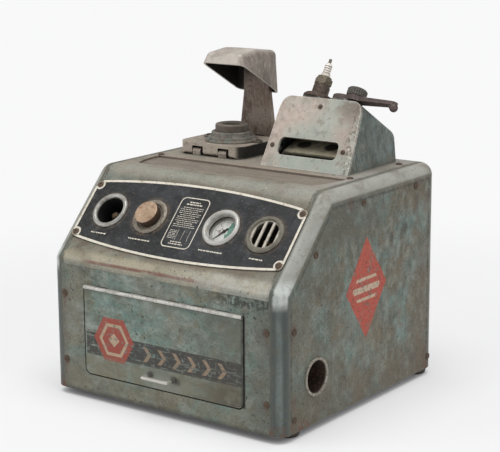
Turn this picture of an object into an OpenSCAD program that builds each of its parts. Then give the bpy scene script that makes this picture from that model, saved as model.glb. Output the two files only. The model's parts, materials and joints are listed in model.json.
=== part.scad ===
// Bench machine that blasts ignition plugs clean and tests their spark under air pressure.
// A sheet-steel cabinet carries a hinged cleaner head on the left of its deck and a test head on
// the right. X runs to the right, Y to the back, Z up. The origin is on the floor, under the middle.

/* [Cabinet] */
// Width over the side panels
cab_w = 356; // [346:1:372]
// Depth from the front panel to the back panel
cab_d = 350; // [346:1:366]
// Height of the panels, from their lower edge to the deck
cab_h = 275; // [271:1:284]
// Height of the front panel's plane, up to the crease of the sloping face
front_h = 172; // [169:1:175]
// How far back the sloping face runs
bevel_run = 98; // [95:1:101]
// Radius of the rolled edges
edge_r = 17; // [15:0.5:18]
// Thickness of the cabinet's sheet
sheet = 1.6; // [1.4:0.1:1.8]
// Distance from the end of a rolled edge to the seam beside it
seam_margin = 1; // [0.5:0.5:2]
// Width of the flange that laps under the neighbouring panels
lap_w = 16.5; // [16:0.25:17]
// Gap between panels at a seam
seam_gap = 0.2; // [0.1:0.05:0.3]
// Height of the seam under the crease, measured down from the crease
crease_seam = 9; // [8.5:0.5:11]
// Height of the seam at the back, measured down from the deck
back_seam = 22; // [20:1:24]

/* [Feet and base] */
// Height of the rubber feet
foot_h = 9; // [8:0.5:11]
// Radius of a foot at its top
foot_r = 14; // [12:0.5:14]
// Distance of a foot's middle from the cabinet's corner, each way
foot_in = 17; // [16:1:20]
// Height of the base pan's turned-up wall
pan_h = 24; // [23:1:28]
// Clearance between the base pan and the panels round it
pan_gap = 0.2; // [0.1:0.05:0.3]

/* [Screws] */
// Radius of a cabinet screw's head
head_r = 4.2; // [3.6:0.1:4.4]
// Height of a cabinet screw's head
head_t = 2.2; // [1.8:0.1:2.6]
// Radius of a cabinet screw's shank
shank_r = 2; // [1.8:0.1:2.2]
// Length of a cabinet screw's shank
shank_l = 8; // [7:0.5:10]
// Clearance round a shank in its hole
hole_gap = 0.15; // [0.1:0.05:0.25]
// Distance from the seam to the front and fascia screws
screw_in = 3.4; // [3:0.1:4.5]
// Distance from the seam to the deck and back screws
deck_screw_in = 11; // [8:0.5:12]
// Width of the side frame's flat bar
bar_w = 14; // [12:1:16]
// Thickness of the side frame's flat bar
bar_t = 3; // [2:0.5:4]

/* [Deck] */
// Width of the pressed tray in the deck
tray_w = 295; // [285:1:297]
// Depth of the tray from front to back
tray_d = 57; // [52:1:60]
// Distance from the top crease to the tray
tray_in = 26; // [25:1:29]
// How deep the tray is pressed
tray_t = 2.5; // [1.5:0.25:3]

/* [Door] */
// Width of the door
door_w = 246.6; // [240:0.5:250]
// Height of the door
door_h = 109; // [106:1:111]
// Height of the door's lower edge above the panel's lower edge
door_low = 26; // [25:1:29]
// Depth of the door's turned-in edges
door_t = 7; // [5:0.5:9]
// Radius of the door's lower corners
door_r = 8; // [6:0.5:10]
// Gap round the door
door_gap = 1.5; // [1:0.25:2]
// Depth of the compartment behind the door
box_d = 112; // [104:1:116]
// Radius of the hinge barrel
barrel_r = 2.6; // [2.4:0.1:2.8]
// Radius of the hinge pin
pin_r = 1.2; // [1:0.1:1.4]
// Running clearance round every pin and stem
run_gap = 0.05; // [0.03:0.01:0.08]
// Number of knuckles along the door hinge
knuckles = 13; // [9:2:17]
// Height of each hinge leaf
leaf_h = 9; // [7:0.5:10]
// Thickness of each hinge leaf
leaf_t = 1; // [0.8:0.1:1.2]
// Width of the door's bow handle
pull_w = 42; // [38:1:50]
// How far the handle stands off the door
pull_out = 17; // [13:1:18]
// Radius of the handle's rod
pull_r = 2.5; // [2.2:0.1:3]

/* [Control face] */
// Distance of the fascia plate's ends from the cabinet's sides
fascia_in = 15; // [14:0.5:16]
// Height of the fascia plate at its ends
fascia_end = 84; // [80:1:86]
// How far its upper and lower edges bow outwards
fascia_bow = 12.4; // [9:0.5:14]
// Thickness of the fascia plate
fascia_t = 1.2; // [1:0.1:1.5]
// Radius of the fascia's corners
fascia_r = 7; // [5:0.5:8]
// Distance between the fascia's upper and lower screws
fascia_pitch = 71.7; // [69:0.5:73]
// Distance from the fascia's ends to the outer instruments
outer_in = 43; // [43:0.5:46]
// Place of the inner instruments, as a part of the outer ones' distance from the middle
inner_part = 0.46; // [0.44:0.01:0.48]
// Outer radius of the indicator bezel
ind_r = 25; // [24:0.1:26]
// Bore radius of the indicator tube
ind_bore = 19; // [18:0.1:19.1]
// Outer radius of the dished plate round the control knob
dish_r = 24.3; // [23:0.1:25]
// Radius of the control knob
knob_r = 15.8; // [15:0.1:16.4]
// Height of the control knob
knob_h = 11; // [9:0.5:13]
// Outer radius of the gauge bezel and of the grille
dial_r = 25.2; // [24.5:0.1:25.8]
// Radius of the gauge case and of the gap cup behind the panel
case_r = 22; // [21:0.25:22.4]
// Depth of the cases behind the panel
case_d = 30; // [26:1:34]
// Width of a grille slot
slot_w = 8.5; // [8:0.25:9]
// Width of a grille bar
grille_bar = 3.2; // [3:0.2:4]

/* [Cleaner head] */
// Middle of the cleaner casting, to the left of the cabinet's middle
cl_x = 87; // [86:0.5:88]
// Front of the cleaner casting, behind the cabinet's middle
cl_y = 35; // [33:0.5:37]
// Width of the cleaner casting
cl_w = 104.5; // [102:0.5:106]
// Depth of the cleaner casting
cl_d = 118; // [116:0.5:119]
// Height of the cleaner casting
cl_h = 17; // [16:0.5:19]
// Wall of the cleaner casting
cl_wall = 5; // [4:0.5:5.5]
// Radius of its upright corners
cl_r = 16; // [14:0.5:18]
// Radius of its hinge barrels
lug_r = 4.6; // [4.2:0.1:4.7]
// Width of a hinge notch
notch_w = 18; // [17:0.5:20]
// Distance from the casting's middle to each hinge notch
notch_u = 21.3; // [20:0.5:23]
// Radius of the two hinge pins
cl_pin_r = 2; // [1.8:0.1:2.2]
// Distance from the casting's front to the middle of the boot
boot_y = 42; // [41:0.5:43]
// Offset of the boot to the right of the casting's middle
boot_x = 7; // [6:0.5:8]
// Radius of the clamp ring's flange
ring_r = 36; // [35:0.25:36.5]
// Distance from the middle of the ring to its screws
ear_u = 41; // [40.5:0.25:41.5]
// Radius of the rubber boot's neck
boot_r = 22; // [21:0.5:23]
// Radius of the hole that takes the plug
boot_bore = 12.5; // [11.5:0.5:13.5]
// Height of the boot above the casting
boot_h = 23; // [21:0.5:25]

/* [Hood] */
// Distance from the casting's front to the arm's pivot
arm_y = 105; // [104:0.5:106]
// Height of the arm's pivot above the deck
arm_z = 9.5; // [9:0.25:10]
// Width of the arm at its foot
arm_w = 52; // [50:0.5:53]
// Width of the arm where it enters the hood
arm_top_w = 41; // [39:0.5:41.5]
// Thickness of the arm's web
arm_t = 8; // [7:0.5:9]
// Radius of the arm's pivot pin
arm_pin_r = 4; // [3.5:0.1:4.2]
// Width of the hood
hood_w = 72; // [71:0.5:73]
// Offset of the hood to the left of its arm
hood_shift = 3.5; // [3:0.5:4]
// Length of the hood from front to back
hood_l = 84; // [82:0.5:86]
// Height of the hood's top above the deck
hood_z = 137; // [136:0.5:139]
// Wall of the hood
hood_t = 3; // [2.5:0.25:3.25]
// Radius of the hood's outer edges
hood_r = 8; // [7:0.5:9]

/* [Test head] */
// Middle of the test head, to the right of the cabinet's middle
te_x = 70.5; // [69:0.5:73]
// Foot of its front plate, behind the cabinet's middle
te_y = 25.2; // [23:0.5:28]
// Width at its foot
te_w = 132.7; // [131:0.5:135]
// Depth at its foot
te_d = 115.6; // [114:0.5:118]
// Height of its upper edge
te_h = 85.9; // [84:0.5:88]
// How far the front plate leans back over its height
te_lean = 44.5; // [43:0.5:46]
// Height of its back wall
te_back = 42.3; // [40:0.5:44]
// How much narrower each side is at the upper edge
te_taper = 6; // [5:0.5:7]
// Wall of the housing
te_wall = 4; // [3.5:0.25:4.5]
// Thickness of the front plate
plate_t = 4; // [3.5:0.25:5]
// Radius of the upper corners
te_r = 14; // [12:0.5:15]
// Distance of the viewing slot's ends from the head's sides
view_in = 21.35; // [20.35:0.25:23.35]
// Height of the viewing slot
view_h = 24; // [21:0.5:25]
// Distance from the foot of the plate to the slot's middle
view_v = 29; // [28:0.5:30]

/* [Test ports and plug] */
// Distance from the middle of the head to each test port
port_u = 21; // [20.5:0.25:21.5]
// Distance of the ports below the upper edge, along the slope
port_s = 20; // [19.5:0.25:20.5]
// Radius of a port's bore
port_r = 9; // [8.5:0.25:9.25]
// Radius of the port bosses
boss_r = 19.5; // [18.5:0.25:19.75]
// Height of the port bosses
boss_h = 3.6; // [3:0.2:4]
// Radius of the plug adapter's flange
adapter_r = 20; // [19:0.5:20.5]
// Thickness of the plug adapter's flange and of the lever's pad
pad_t = 6; // [5.5:0.25:7]
// Height of the plug adapter over the slope
adapter_h = 24.5; // [23:0.5:26]
// Radius of the plug's thread
thread_r = 6.95; // [6.8:0.05:7]
// Length of the plug's thread
thread_l = 12.7; // [12:0.1:14]
// Distance across the flats of the plug's hexagon
hex_af = 20.6; // [20:0.1:21]
// Length of the plug above its gasket seat
plug_h = 38; // [36:0.5:40]

/* [Valve lever] */
// Pivot of the lever, to the right of the head's middle
lever_u = 38.2; // [37.8:0.1:38.5]
// Pivot of the lever below the upper edge, along the slope
lever_s = 14; // [13.6:0.1:14.4]
// Length of the lever from its pivot to its end
lever_l = 64; // [60:1:67]
// Thickness of the lever's arm
lever_t = 5.5; // [4.5:0.5:6]
// Radius of the lever's stud
stud_r = 3.5; // [3.3:0.1:3.6]
// Radius of the knurled cap
cap_r = 13; // [12:0.25:13.5]
// Height of the knurled cap
cap_h = 10.5; // [9:0.5:12]

/* [Services] */
// Distance of the exhaust port behind the front panel
exh_y = 71.4; // [68:0.5:74]
// Height of the exhaust port above the panels' lower edge
exh_z = 58; // [56:0.5:61]
// Bore radius of the exhaust port
exh_r = 20; // [19:0.5:21]
// Wall of the exhaust sleeve
exh_wall = 1.2; // [1:0.1:1.5]
// Bore radius of the hopper's mouth
hopper_r = 29; // [27:0.5:30]
// Depth of the hopper under the deck
hopper_h = 110; // [100:1:115]
// Radius of the air inlet nipple
inlet_r = 6.8; // [6:0.1:7.5]
// How far the air inlet stands out of the back
inlet_out = 17; // [15:1:20]
// Height of the air inlet over the cabinet's lower edge
inlet_up = 82; // [74:1:94]
// Radius of the air pipes
pipe_r = 3; // [2.5:0.25:3.5]
// Radius of the ignition coil's can
coil_r = 28; // [26:0.5:30]
// Height of the ignition coil's can
coil_h = 105; // [95:1:112]

/* [Hidden] */
$fn = 64;
eps = 0.01;
rest_gap = 0.3;

half_w = cab_w / 2;
half_d = cab_d / 2;
deck_z = foot_h + cab_h;
crease_z = foot_h + front_h;
crease_y = bevel_run - half_d;
bevel_rise = deck_z - crease_z;
bevel_len = sqrt(bevel_run * bevel_run + bevel_rise * bevel_rise);
bevel_a = atan2(bevel_rise, bevel_run);
seam_x = half_w - edge_r - seam_margin;
wrap_low = crease_z - crease_seam;
wrap_back = deck_z - back_seam;
hole_r = shank_r + hole_gap;
fascia_v = bevel_len / 2 + 2;
dial_v = fascia_v + 0.7;
door_z = foot_h + door_low;
door_top = door_z + door_h;
fascia_w = cab_w - 2 * fascia_in;
outer_u = fascia_w / 2 - outer_in;
inner_u = outer_u * inner_part;
view_w = te_w - 2 * view_in;
// The rolled form's spheres have small flats, so the deck's underside lies a little lower than its sheet.
deck_low = deck_z - sheet - 0.1;
slot_gap = 0.6;
hinge_y = -half_d - slot_gap;
hinge_z = door_top + barrel_r + slot_gap;
leaf_y = -half_d + sheet + 0.1;
exh_pos = [exh_y - half_d, foot_h + exh_z];
boot_pos = [boot_x - cl_x, cl_y + boot_y];
cl_pin_y = 5;
cl_pin_z = cl_pin_y + rest_gap;
cl_seat = rest_gap;
lug_reach = 6.2;
face_a = atan2(te_h, te_lean);
face_l = sqrt(te_h * te_h + te_lean * te_lean);
apex_y = te_y + te_lean;
slope_run = te_d - te_lean;
slope_a = atan2(te_h - te_back, slope_run);
arm_wz = [32, 124];
lug_x = boot_pos[0] - 4.5;
collar_r = thread_r + 4;

// Frames that stand on the object's own faces. Their Z axis points out of the face.
module on_bevel(u = 0, v = 0) {
  translate([0, -half_d, crease_z]) rotate([bevel_a, 0, 0]) translate([u, v, 0]) children();
}
module on_face(u = 0, v = 0) {
  translate([te_x, te_y, deck_z]) rotate([face_a, 0, 0]) translate([u, v, 0]) children();
}
module on_slope(u = 0, s = 0) {
  translate([te_x, apex_y, deck_z + te_h]) rotate([-slope_a, 0, 0]) translate([u, s, 0]) children();
}
module on_boot() {
  translate([boot_pos[0], boot_pos[1], deck_z + cl_h]) children();
}
module both_sides() {
  children();
  mirror([1, 0, 0]) children();
}

// Shapes that several pieces use.
module round_rect(w, h, r) {
  square([w - 2 * r, h], center = true);
  square([w, h - 2 * r], center = true);
  for (x = [-1, 1], y = [-1, 1]) translate([x * (w / 2 - r), y * (h / 2 - r)]) circle(r = r);
}
module rod_x(r, l) {
  rotate([0, 90, 0]) cylinder(r = r, h = l, center = true);
}
module pan_screw(r, t, stem, l) {
  difference() {
    union() {
      intersection() {
        cylinder(r = r, h = t);
        translate([0, 0, t - 1.9 * r]) sphere(r = 1.9 * r);
      }
      translate([0, 0, -l]) cylinder(r = stem, h = l + eps);
    }
    translate([-r, -r / 9, t - t * 0.45]) cube([2 * r, 2 * r / 9, t]);
  }
}
module pipe(points, r) {
  for (i = [0 : len(points) - 2]) {
    a = points[i];
    d = points[i + 1] - a;
    l = norm(d);
    translate(a) rotate([0, acos(d[2] / l), atan2(d[1], d[0])]) cylinder(r = r, h = l);
    if (i > 0) translate(a) sphere(r = r + 1.5);
  }
}

// The cabinet's outer form, drawn in by a distance.
module form(inset) {
  hull() both_sides() {
    for (c = [
      [-half_d + edge_r, crease_z - edge_r * (bevel_len - bevel_rise) / bevel_run],
      [crease_y + edge_r * (bevel_len - bevel_run) / bevel_rise, deck_z - edge_r],
      [half_d - edge_r, deck_z - edge_r]
    ]) translate([half_w - edge_r, c[0], c[1]]) sphere(r = edge_r - inset, $fn = 32);
    for (y = [-1, 1]) translate([half_w - edge_r, y * (half_d - edge_r), foot_h - min(inset, 1)])
      cylinder(r = edge_r - inset, h = pan_h, $fn = 32);
  }
}
module skin(layer) {
  difference() {
    form(layer * sheet);
    form((layer + 1) * sheet);
  }
}
module x_block(x0, x1) {
  translate([x0, -cab_d, 0]) cube([x1 - x0, 2 * cab_d, 2 * cab_h]);
}

// Where the cabinet's screws sit. Each place is shared by the screws and their holes.
fascia_screw_v = [fascia_v - fascia_pitch / 2, fascia_v + fascia_pitch / 2];
front_screw_z = [foot_h + 38, foot_h + 125];
tray_back = crease_y + tray_in + tray_d;
deck_screw_y = [tray_back + 6, 128];
back_screw_z = [foot_h + 44, wrap_back - 40];
frame_path = [
  [26 - half_d, foot_h + pan_h + bar_w],
  [26 - half_d, crease_z - 28],
  [26 - half_d + 44, crease_z + 34],
  [crease_y + 12, deck_z - 24.5],
  [half_d - 26, deck_z - 24.5]
];
side_screw_yz = [
  [26 - half_d, crease_z - 49], frame_path[2], [-1.7, deck_z - 24.5], [121.8, deck_z - 24.5],
  [26 - half_d, foot_h + pan_h / 2 + 4], [half_d - 16, foot_h + pan_h / 2 + 4]
];
module at_cabinet_screws() {
  both_sides() {
    for (v = fascia_screw_v) on_bevel(seam_x - screw_in, v) translate([0, 0, fascia_t]) children();
    for (z = front_screw_z) translate([seam_x - screw_in, -half_d, z]) rotate([90, 0, 0]) children();
    for (y = deck_screw_y) translate([seam_x - deck_screw_in, y, deck_z]) children();
    for (z = back_screw_z) translate([seam_x - deck_screw_in, half_d, z]) rotate([-90, 0, 0]) children();
    for (p = side_screw_yz) translate([half_w, p[0], p[1]]) rotate([0, 90, 0]) children();
  }
}
module screw_holes() {
  at_cabinet_screws() translate([0, 0, -shank_l - 1]) cylinder(r = hole_r, h = shank_l + 4);
}
module tray_outline() {
  w = tray_w / 2;
  polygon([
    [-w + 12, 0], [w - 12, 0], [w - 4.5, 18], [w, 43], [w, tray_d], [-w, tray_d], [-w, 43], [-w + 4.5, 18]
  ]);
}
module on_tray(z) {
  translate([0, crease_y + tray_in, deck_z - z]) children();
}

module right_side() {
  color("cadetblue") difference() {
    union() {
      intersection() {
        skin(0);
        x_block(seam_x, cab_w);
      }
      intersection() {
        skin(1);
        x_block(seam_x - lap_w, seam_x + 3);
      }
    }
    screw_holes();
    on_tray(tray_t + 2 * sheet) linear_extrude(tray_t + sheet + 1) offset(delta = sheet + 0.4) tray_outline();
    translate([half_w, exh_pos[0], exh_pos[1]]) rod_x(exh_r + exh_wall + hole_gap, 20);
  }
}
module left_side() {
  color("cadetblue") mirror([1, 0, 0]) difference() {
    union() {
      intersection() {
        skin(0);
        x_block(seam_x, cab_w);
      }
      intersection() {
        skin(1);
        x_block(seam_x - lap_w, seam_x + 3);
      }
    }
    screw_holes();
    on_tray(tray_t + 2 * sheet) linear_extrude(tray_t + sheet + 1) offset(delta = sheet + 0.4) tray_outline();
  }
}
// One folded sheet: the sloping control face, the deck with its pressed tray, and the rear fold.
module top_wrap() {
  color("rosybrown") difference() {
    union() {
      intersection() {
        skin(0);
        union() {
          translate([-seam_x + seam_gap, -cab_d, wrap_low])
            cube([2 * (seam_x - seam_gap), cab_d, cab_h]);
          translate([-seam_x + seam_gap, -eps, wrap_back])
            cube([2 * (seam_x - seam_gap), cab_d, cab_h]);
        }
      }
      on_tray(tray_t + sheet) linear_extrude(tray_t + sheet / 2) offset(delta = sheet) tray_outline();
    }
    on_tray(tray_t) linear_extrude(tray_t + 1) tray_outline();
    screw_holes();
    for (u = [-outer_u, inner_u, outer_u]) on_bevel(u, dial_v) cylinder(r = case_r + 0.2, h = 12, center = true);
    on_bevel(-inner_u, dial_v) cylinder(r = 8.2, h = 12, center = true);
    translate([boot_pos[0], boot_pos[1], deck_z - 5]) cylinder(r = hopper_r, h = 8);
    translate([te_x - 40, te_y + 46, deck_z - 5]) cube([80, 46, 8]);
  }
}
module front_panel() {
  w = seam_x - seam_gap;
  color("cadetblue") difference() {
    translate([-w, -half_d, foot_h]) cube([2 * w, sheet, wrap_low - seam_gap - foot_h]);
    translate([0, -half_d + 2 * sheet, door_z]) rotate([90, 0, 0]) linear_extrude(4 * sheet) {
      door_outline(-door_gap);
      translate([-door_w / 2 - door_gap, door_h / 2])
        square([door_w + 2 * door_gap, door_h / 2 + 2 * (barrel_r + slot_gap)]);
    }
    screw_holes();
  }
}
module back_panel() {
  w = seam_x - seam_gap;
  color("cadetblue") difference() {
    translate([-w, half_d - sheet, foot_h]) cube([2 * w, sheet, wrap_back - seam_gap - foot_h]);
    translate([inlet_x, half_d, inlet_z]) rotate([90, 0, 0])
      cylinder(r = inlet_r + hole_gap, h = 10, center = true);
    screw_holes();
  }
}
module base_pan() {
  w = 2 * (half_w - sheet - pan_gap);
  d = 2 * (half_d - 2 * sheet - pan_gap);
  r = edge_r - 2 * sheet;
  color("dimgray") difference() {
    translate([0, 0, foot_h]) linear_extrude(pan_h) round_rect(w, d, r);
    translate([0, 0, foot_h + sheet]) linear_extrude(pan_h) round_rect(w - 2 * sheet, d - 2 * sheet, r - sheet);
    screw_holes();
    translate([-box_w / 2 - sheet, -half_d, box_z - sheet]) cube([box_w + 2 * sheet, 3 * sheet + 1, pan_h]);
  }
}
// A flat bar bent to the cabinet's outline inside each side, which takes the side screws.
module side_frames() {
  color("slategray") both_sides() difference() {
    translate([half_w - sheet - pan_gap - bar_t, 0, 0]) rotate([90, 0, 90]) linear_extrude(bar_t) {
      for (p = frame_path) translate(p) circle(r = bar_w / 2 + 1);
      for (i = [0 : len(frame_path) - 2]) {
        d = frame_path[i + 1] - frame_path[i];
        translate(frame_path[i]) rotate(atan2(d[1], d[0])) translate([0, -bar_w / 2]) square([norm(d), bar_w]);
      }
    }
    screw_holes();
  }
}
front_foot_y = 137;
module feet() {
  color("black") for (x = [-1, 1], y = [-1, 1])
    translate([x * (half_w - foot_in), y > 0 ? half_d - foot_in : -front_foot_y, 0]) rotate_extrude()
      polygon([[0, 3], [4.5, 3], [4.5, 0], [foot_r - 3, 0], [foot_r - 1.5, 1.2], [foot_r, foot_h - 2],
        [foot_r, foot_h], [0, foot_h]]);
}
module cabinet_screws() {
  color("sienna") at_cabinet_screws() pan_screw(head_r, head_t, shank_r, shank_l);
}

// The compartment behind the door, open at the front, with a way out to the exhaust port.
box_w = door_w + 2 * door_gap;
box_y = -half_d + sheet;
box_z = door_z - door_gap;
box_h = hinge_z + barrel_r + leaf_h + 2 - box_z;
module storage_box() {
  color("darkslategray") difference() {
    translate([-box_w / 2 - sheet, box_y, box_z - sheet])
      cube([box_w + 2 * sheet, box_d, box_h + 2 * sheet]);
    translate([-box_w / 2, box_y - 1, box_z]) cube([box_w, box_d - sheet + 1, box_h]);
    translate([box_w / 2, exh_pos[0], exh_pos[1]]) rod_x(exh_r, 10);
  }
}
module exhaust_sleeve() {
  l = half_w - box_w / 2 - sheet;
  color("silver") translate([box_w / 2 + sheet, exh_pos[0], exh_pos[1]]) rotate([0, 90, 0])
    rotate_extrude() polygon([[exh_r, 0], [exh_r + exh_wall, 0], [exh_r + exh_wall, l],
      [exh_r + 4, l], [exh_r + 3.4, l + 1.6], [exh_r + 0.6, l + 1.6], [exh_r, l + 1]]);
}

// The door fills its opening, flush with the panel. Its sides and foot are turned in.
module door_outline(inset) {
  w = door_w - 2 * inset;
  r = door_r - inset;
  translate([-w / 2, door_r]) square([w, door_h - door_r]);
  translate([-w / 2 + r, inset]) square([w - 2 * r, door_r - inset]);
  for (x = [-1, 1]) translate([x * (door_w / 2 - door_r), door_r]) circle(r = r);
}
module door() {
  color("darkseagreen") translate([0, -half_d + door_t, door_z]) rotate([90, 0, 0]) difference() {
    linear_extrude(door_t) door_outline(0);
    translate([0, 0, -1]) linear_extrude(door_t - sheet + 1) {
      door_outline(sheet);
      translate([-door_w / 2 + sheet, door_h / 2]) square([door_w - 2 * sheet, door_h]);
    }
    translate([-door_w, door_h - leaf_h - 4, -1]) cube([2 * door_w, leaf_h + 9, door_t - sheet + 1]);
    for (x = [-1, 1]) translate([x * (pull_w / 2 - pull_r), pull_v, -1]) cylinder(r = pull_r / 2, h = 20);
  }
}
pull_v = 16;
// A bow of bent rod on two dark collars.
module door_handle() {
  r = pull_r;
  w = pull_w / 2 - r;
  color("gainsboro") translate([0, -half_d, door_z + pull_v]) rotate([90, 0, 0]) {
    for (x = [-1, 1]) translate([x * w, 0, 0]) {
      translate([0, 0, -sheet]) cylinder(r = r / 2, h = sheet);
      cylinder(r = r + 1.2, h = 2.5);
      translate([0, 0, 2.5]) cylinder(r = r, h = pull_out - r - 2.5);
      translate([0, 0, pull_out - r]) sphere(r = r);
    }
    translate([0, 0, pull_out - r]) rod_x(r, 2 * w);
  }
}
knuckle_l = (door_w - 1) / knuckles;
module hinge_half(odd, up) {
  difference() {
    union() {
      for (i = [0 : knuckles - 1]) if (i % 2 == odd) translate([(i - (knuckles - 1) / 2) * knuckle_l, 0, 0]) {
        translate([0, hinge_y, hinge_z]) rod_x(barrel_r, knuckle_l - 0.4);
        translate([-knuckle_l / 2 + 0.2, hinge_y + 0.8, up ? hinge_z : hinge_z - barrel_r - 0.3])
          cube([knuckle_l - 0.4, leaf_y + leaf_t - hinge_y - 0.8, barrel_r + 0.3]);
      }
      translate([-door_w / 2 + 3, leaf_y, up ? hinge_z + barrel_r + 0.2 : hinge_z - barrel_r - 0.2 - leaf_h])
        cube([door_w - 6, leaf_t, leaf_h]);
    }
    translate([0, hinge_y, hinge_z]) rod_x(pin_r + run_gap, door_w + 10);
  }
}
// The fixed leaf lies behind the front panel, above the barrel.
module hinge_leaf() {
  color("lightgray") hinge_half(0, true);
}
// The moving flap lies behind the door's sheet, below the barrel.
module hinge_flap() {
  color("lightgray") hinge_half(1, false);
}
module hinge_pin() {
  color("dimgray") translate([0, hinge_y, hinge_z]) rod_x(pin_r, door_w - 4);
}

// The fascia: a thin plate whose long edges are arcs.
module fascia_outline() {
  w = fascia_w / 2;
  arc_r = (w * w + fascia_bow * fascia_bow) / (2 * fascia_bow);
  offset(r = fascia_r, $fn = 32) offset(delta = -fascia_r) intersection() {
    square([fascia_w, fascia_end + 2 * fascia_bow], center = true);
    translate([0, fascia_end / 2 + fascia_bow - arc_r]) circle(r = arc_r, $fn = 360);
    translate([0, arc_r - fascia_end / 2 - fascia_bow]) circle(r = arc_r, $fn = 360);
  }
}
module fascia_plate() {
  color("#2b2d2f") difference() {
    on_bevel(0, fascia_v) linear_extrude(fascia_t) fascia_outline();
    screw_holes();
    for (u = [-outer_u, inner_u, outer_u]) on_bevel(u, dial_v) cylinder(r = case_r + 0.2, h = 12, center = true);
    on_bevel(-inner_u, dial_v) cylinder(r = 8.2, h = 12, center = true);
  }
}
module indicator_bezel() {
  b = ind_bore;
  t = fascia_t;
  color("silver") on_bevel(-outer_u, dial_v) rotate_extrude() polygon([
    [0, -case_d], [b + 2, -case_d], [b + 2, t], [ind_r, t], [ind_r, t + 2], [ind_r - 1.6, t + 3.8],
    [b + 1.8, t + 3.8], [b, t + 1.8], [b, -case_d + 2], [0, -case_d + 2]
  ]);
}
module lamp_socket() {
  color("peru") on_bevel(-outer_u, dial_v) translate([0, 0, -case_d + 2]) rotate_extrude() polygon([
    [0, 0], [9, 0], [9, 6], [6, 8], [6, case_d - 15], [4.4, case_d - 15], [4.4, case_d - 11], [0, case_d - 9]
  ]);
}
// A dished plate that the control knob sits in.
module knob_dish() {
  t = fascia_t;
  color("rosybrown") on_bevel(-inner_u, dial_v) rotate_extrude() polygon([
    [8.3, t], [dish_r, t], [dish_r, t + 1.4], [dish_r - 2.2, t + 3.2], [knob_r + 2.6, t + 2.6],
    [knob_r + 1.4, t + 0.8], [8.3, t + 0.8]
  ]);
}
module control_knob() {
  z = fascia_t + 0.8 + rest_gap;
  color("tan") on_bevel(-inner_u, dial_v) difference() {
    union() {
      translate([0, 0, z]) rotate_extrude() polygon([
        [0, 0], [knob_r, 0], [knob_r, knob_h - 1.2], [knob_r - 0.4, knob_h - 0.4], [knob_r - 1.6, knob_h],
        [0, knob_h + 0.5]
      ]);
      translate([0, 0, -case_d + 12]) cylinder(r = 4, h = case_d - 8);
    }
  }
}
valve_r = 15;
valve_neck_r = 8;
valve_pipe_l = 44;
module control_valve() {
  color("goldenrod") on_bevel(-inner_u, dial_v) difference() {
    union() {
      translate([0, 0, -case_d]) cylinder(r = valve_r, h = case_d - valve_neck_r);
      translate([0, 0, -valve_neck_r - eps]) cylinder(r = valve_neck_r, h = valve_neck_r + fascia_t);
      translate([0, 0, -sheet - 4.2]) cylinder(r = 12, h = 4);
      translate([0, 0, -case_d / 2 - 4]) rotate([90, 0, 0]) cylinder(r = 5, h = valve_pipe_l, center = true);
    }
    translate([0, 0, -case_d + 8]) cylinder(r = 4 + run_gap, h = case_d);
  }
}
module gauge_bezel() {
  t = fascia_t;
  color("silver") on_bevel(inner_u, dial_v) rotate_extrude() polygon([
    [case_r - 2.8, t - 5], [case_r - 1.2, t - 5], [case_r - 1.2, t], [dial_r, t], [dial_r, t + 2],
    [dial_r - 2, t + 4], [case_r - 1, t + 4], [case_r - 2.8, t + 1.6]
  ]);
}
module gauge_case() {
  color("dimgray") on_bevel(inner_u, dial_v) difference() {
    union() {
      translate([0, 0, -case_d]) cylinder(r = case_r, h = case_d + fascia_t - 0.1);
      translate([0, 0, -case_d - 12]) cylinder(r = 6, h = 13);
    }
    translate([0, 0, -case_d + 2]) cylinder(r = case_r - 1.1, h = case_d + 2);
  }
}
module gauge_dial() {
  color("ivory") on_bevel(inner_u, dial_v) translate([0, 0, fascia_t - 9]) difference() {
    cylinder(r = case_r - 1.2, h = 1);
    cylinder(r = 1 + run_gap, h = 4, center = true);
  }
}
module gauge_pointer() {
  color("black") on_bevel(inner_u, dial_v) {
    translate([0, 0, fascia_t - 11]) cylinder(r = 1, h = 4);
    translate([0, 0, fascia_t - 7.4]) cylinder(r = 2.2, h = 0.8);
    translate([0, 0, fascia_t - 7.4]) rotate([0, 0, -40]) linear_extrude(0.6)
      polygon([[-1.3, 6], [1.3, 6], [0.7, -6], [0.3, -16], [-0.3, -16], [-0.7, -6]]);
  }
}
module gauge_glass() {
  color("lightcyan") on_bevel(inner_u, dial_v) translate([0, 0, fascia_t - 6.2])
    cylinder(r = case_r - 1.2, h = 1);
}
// The curved tube that straightens with pressure and turns the pointer.
module bourdon_tube() {
  color("goldenrod") on_bevel(inner_u, dial_v) translate([0, 0, -case_d + 2]) {
    cylinder(r = 5, h = 3);
    translate([0, 0, 3]) translate([0, -13.5, 0]) cylinder(r = 2.6, h = 8);
    translate([-3, -13.5, 0]) cube([6, 13.5, 3]);
    translate([0, 0, 8]) rotate([0, 0, -90]) rotate_extrude(angle = 250)
      translate([13.5, 0]) circle(r = 2);
  }
}
module gap_grille() {
  t = fascia_t;
  color("silver") on_bevel(outer_u, dial_v) difference() {
    union() {
      rotate_extrude() polygon([
        [case_r - 2.4, t - 6], [case_r - 1.2, t - 6], [case_r - 1.2, t], [dial_r, t], [dial_r, t + 2],
        [dial_r - 2, t + 4], [dial_r - 4.5, t + 4], [dial_r - 5.5, t + 1.6], [case_r - 2.4, t + 1.4]
      ]);
      translate([0, 0, t - 0.6]) cylinder(r = case_r - 2, h = 2.2);
    }
    intersection() {
      translate([0, 0, t - 4]) cylinder(r = case_r - 3.7, h = 8);
      for (i = [-1 : 1]) translate([i * (slot_w + grille_bar) - slot_w / 2, -case_r, t - 4])
        cube([slot_w, 2 * case_r, 8]);
    }
  }
}
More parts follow.
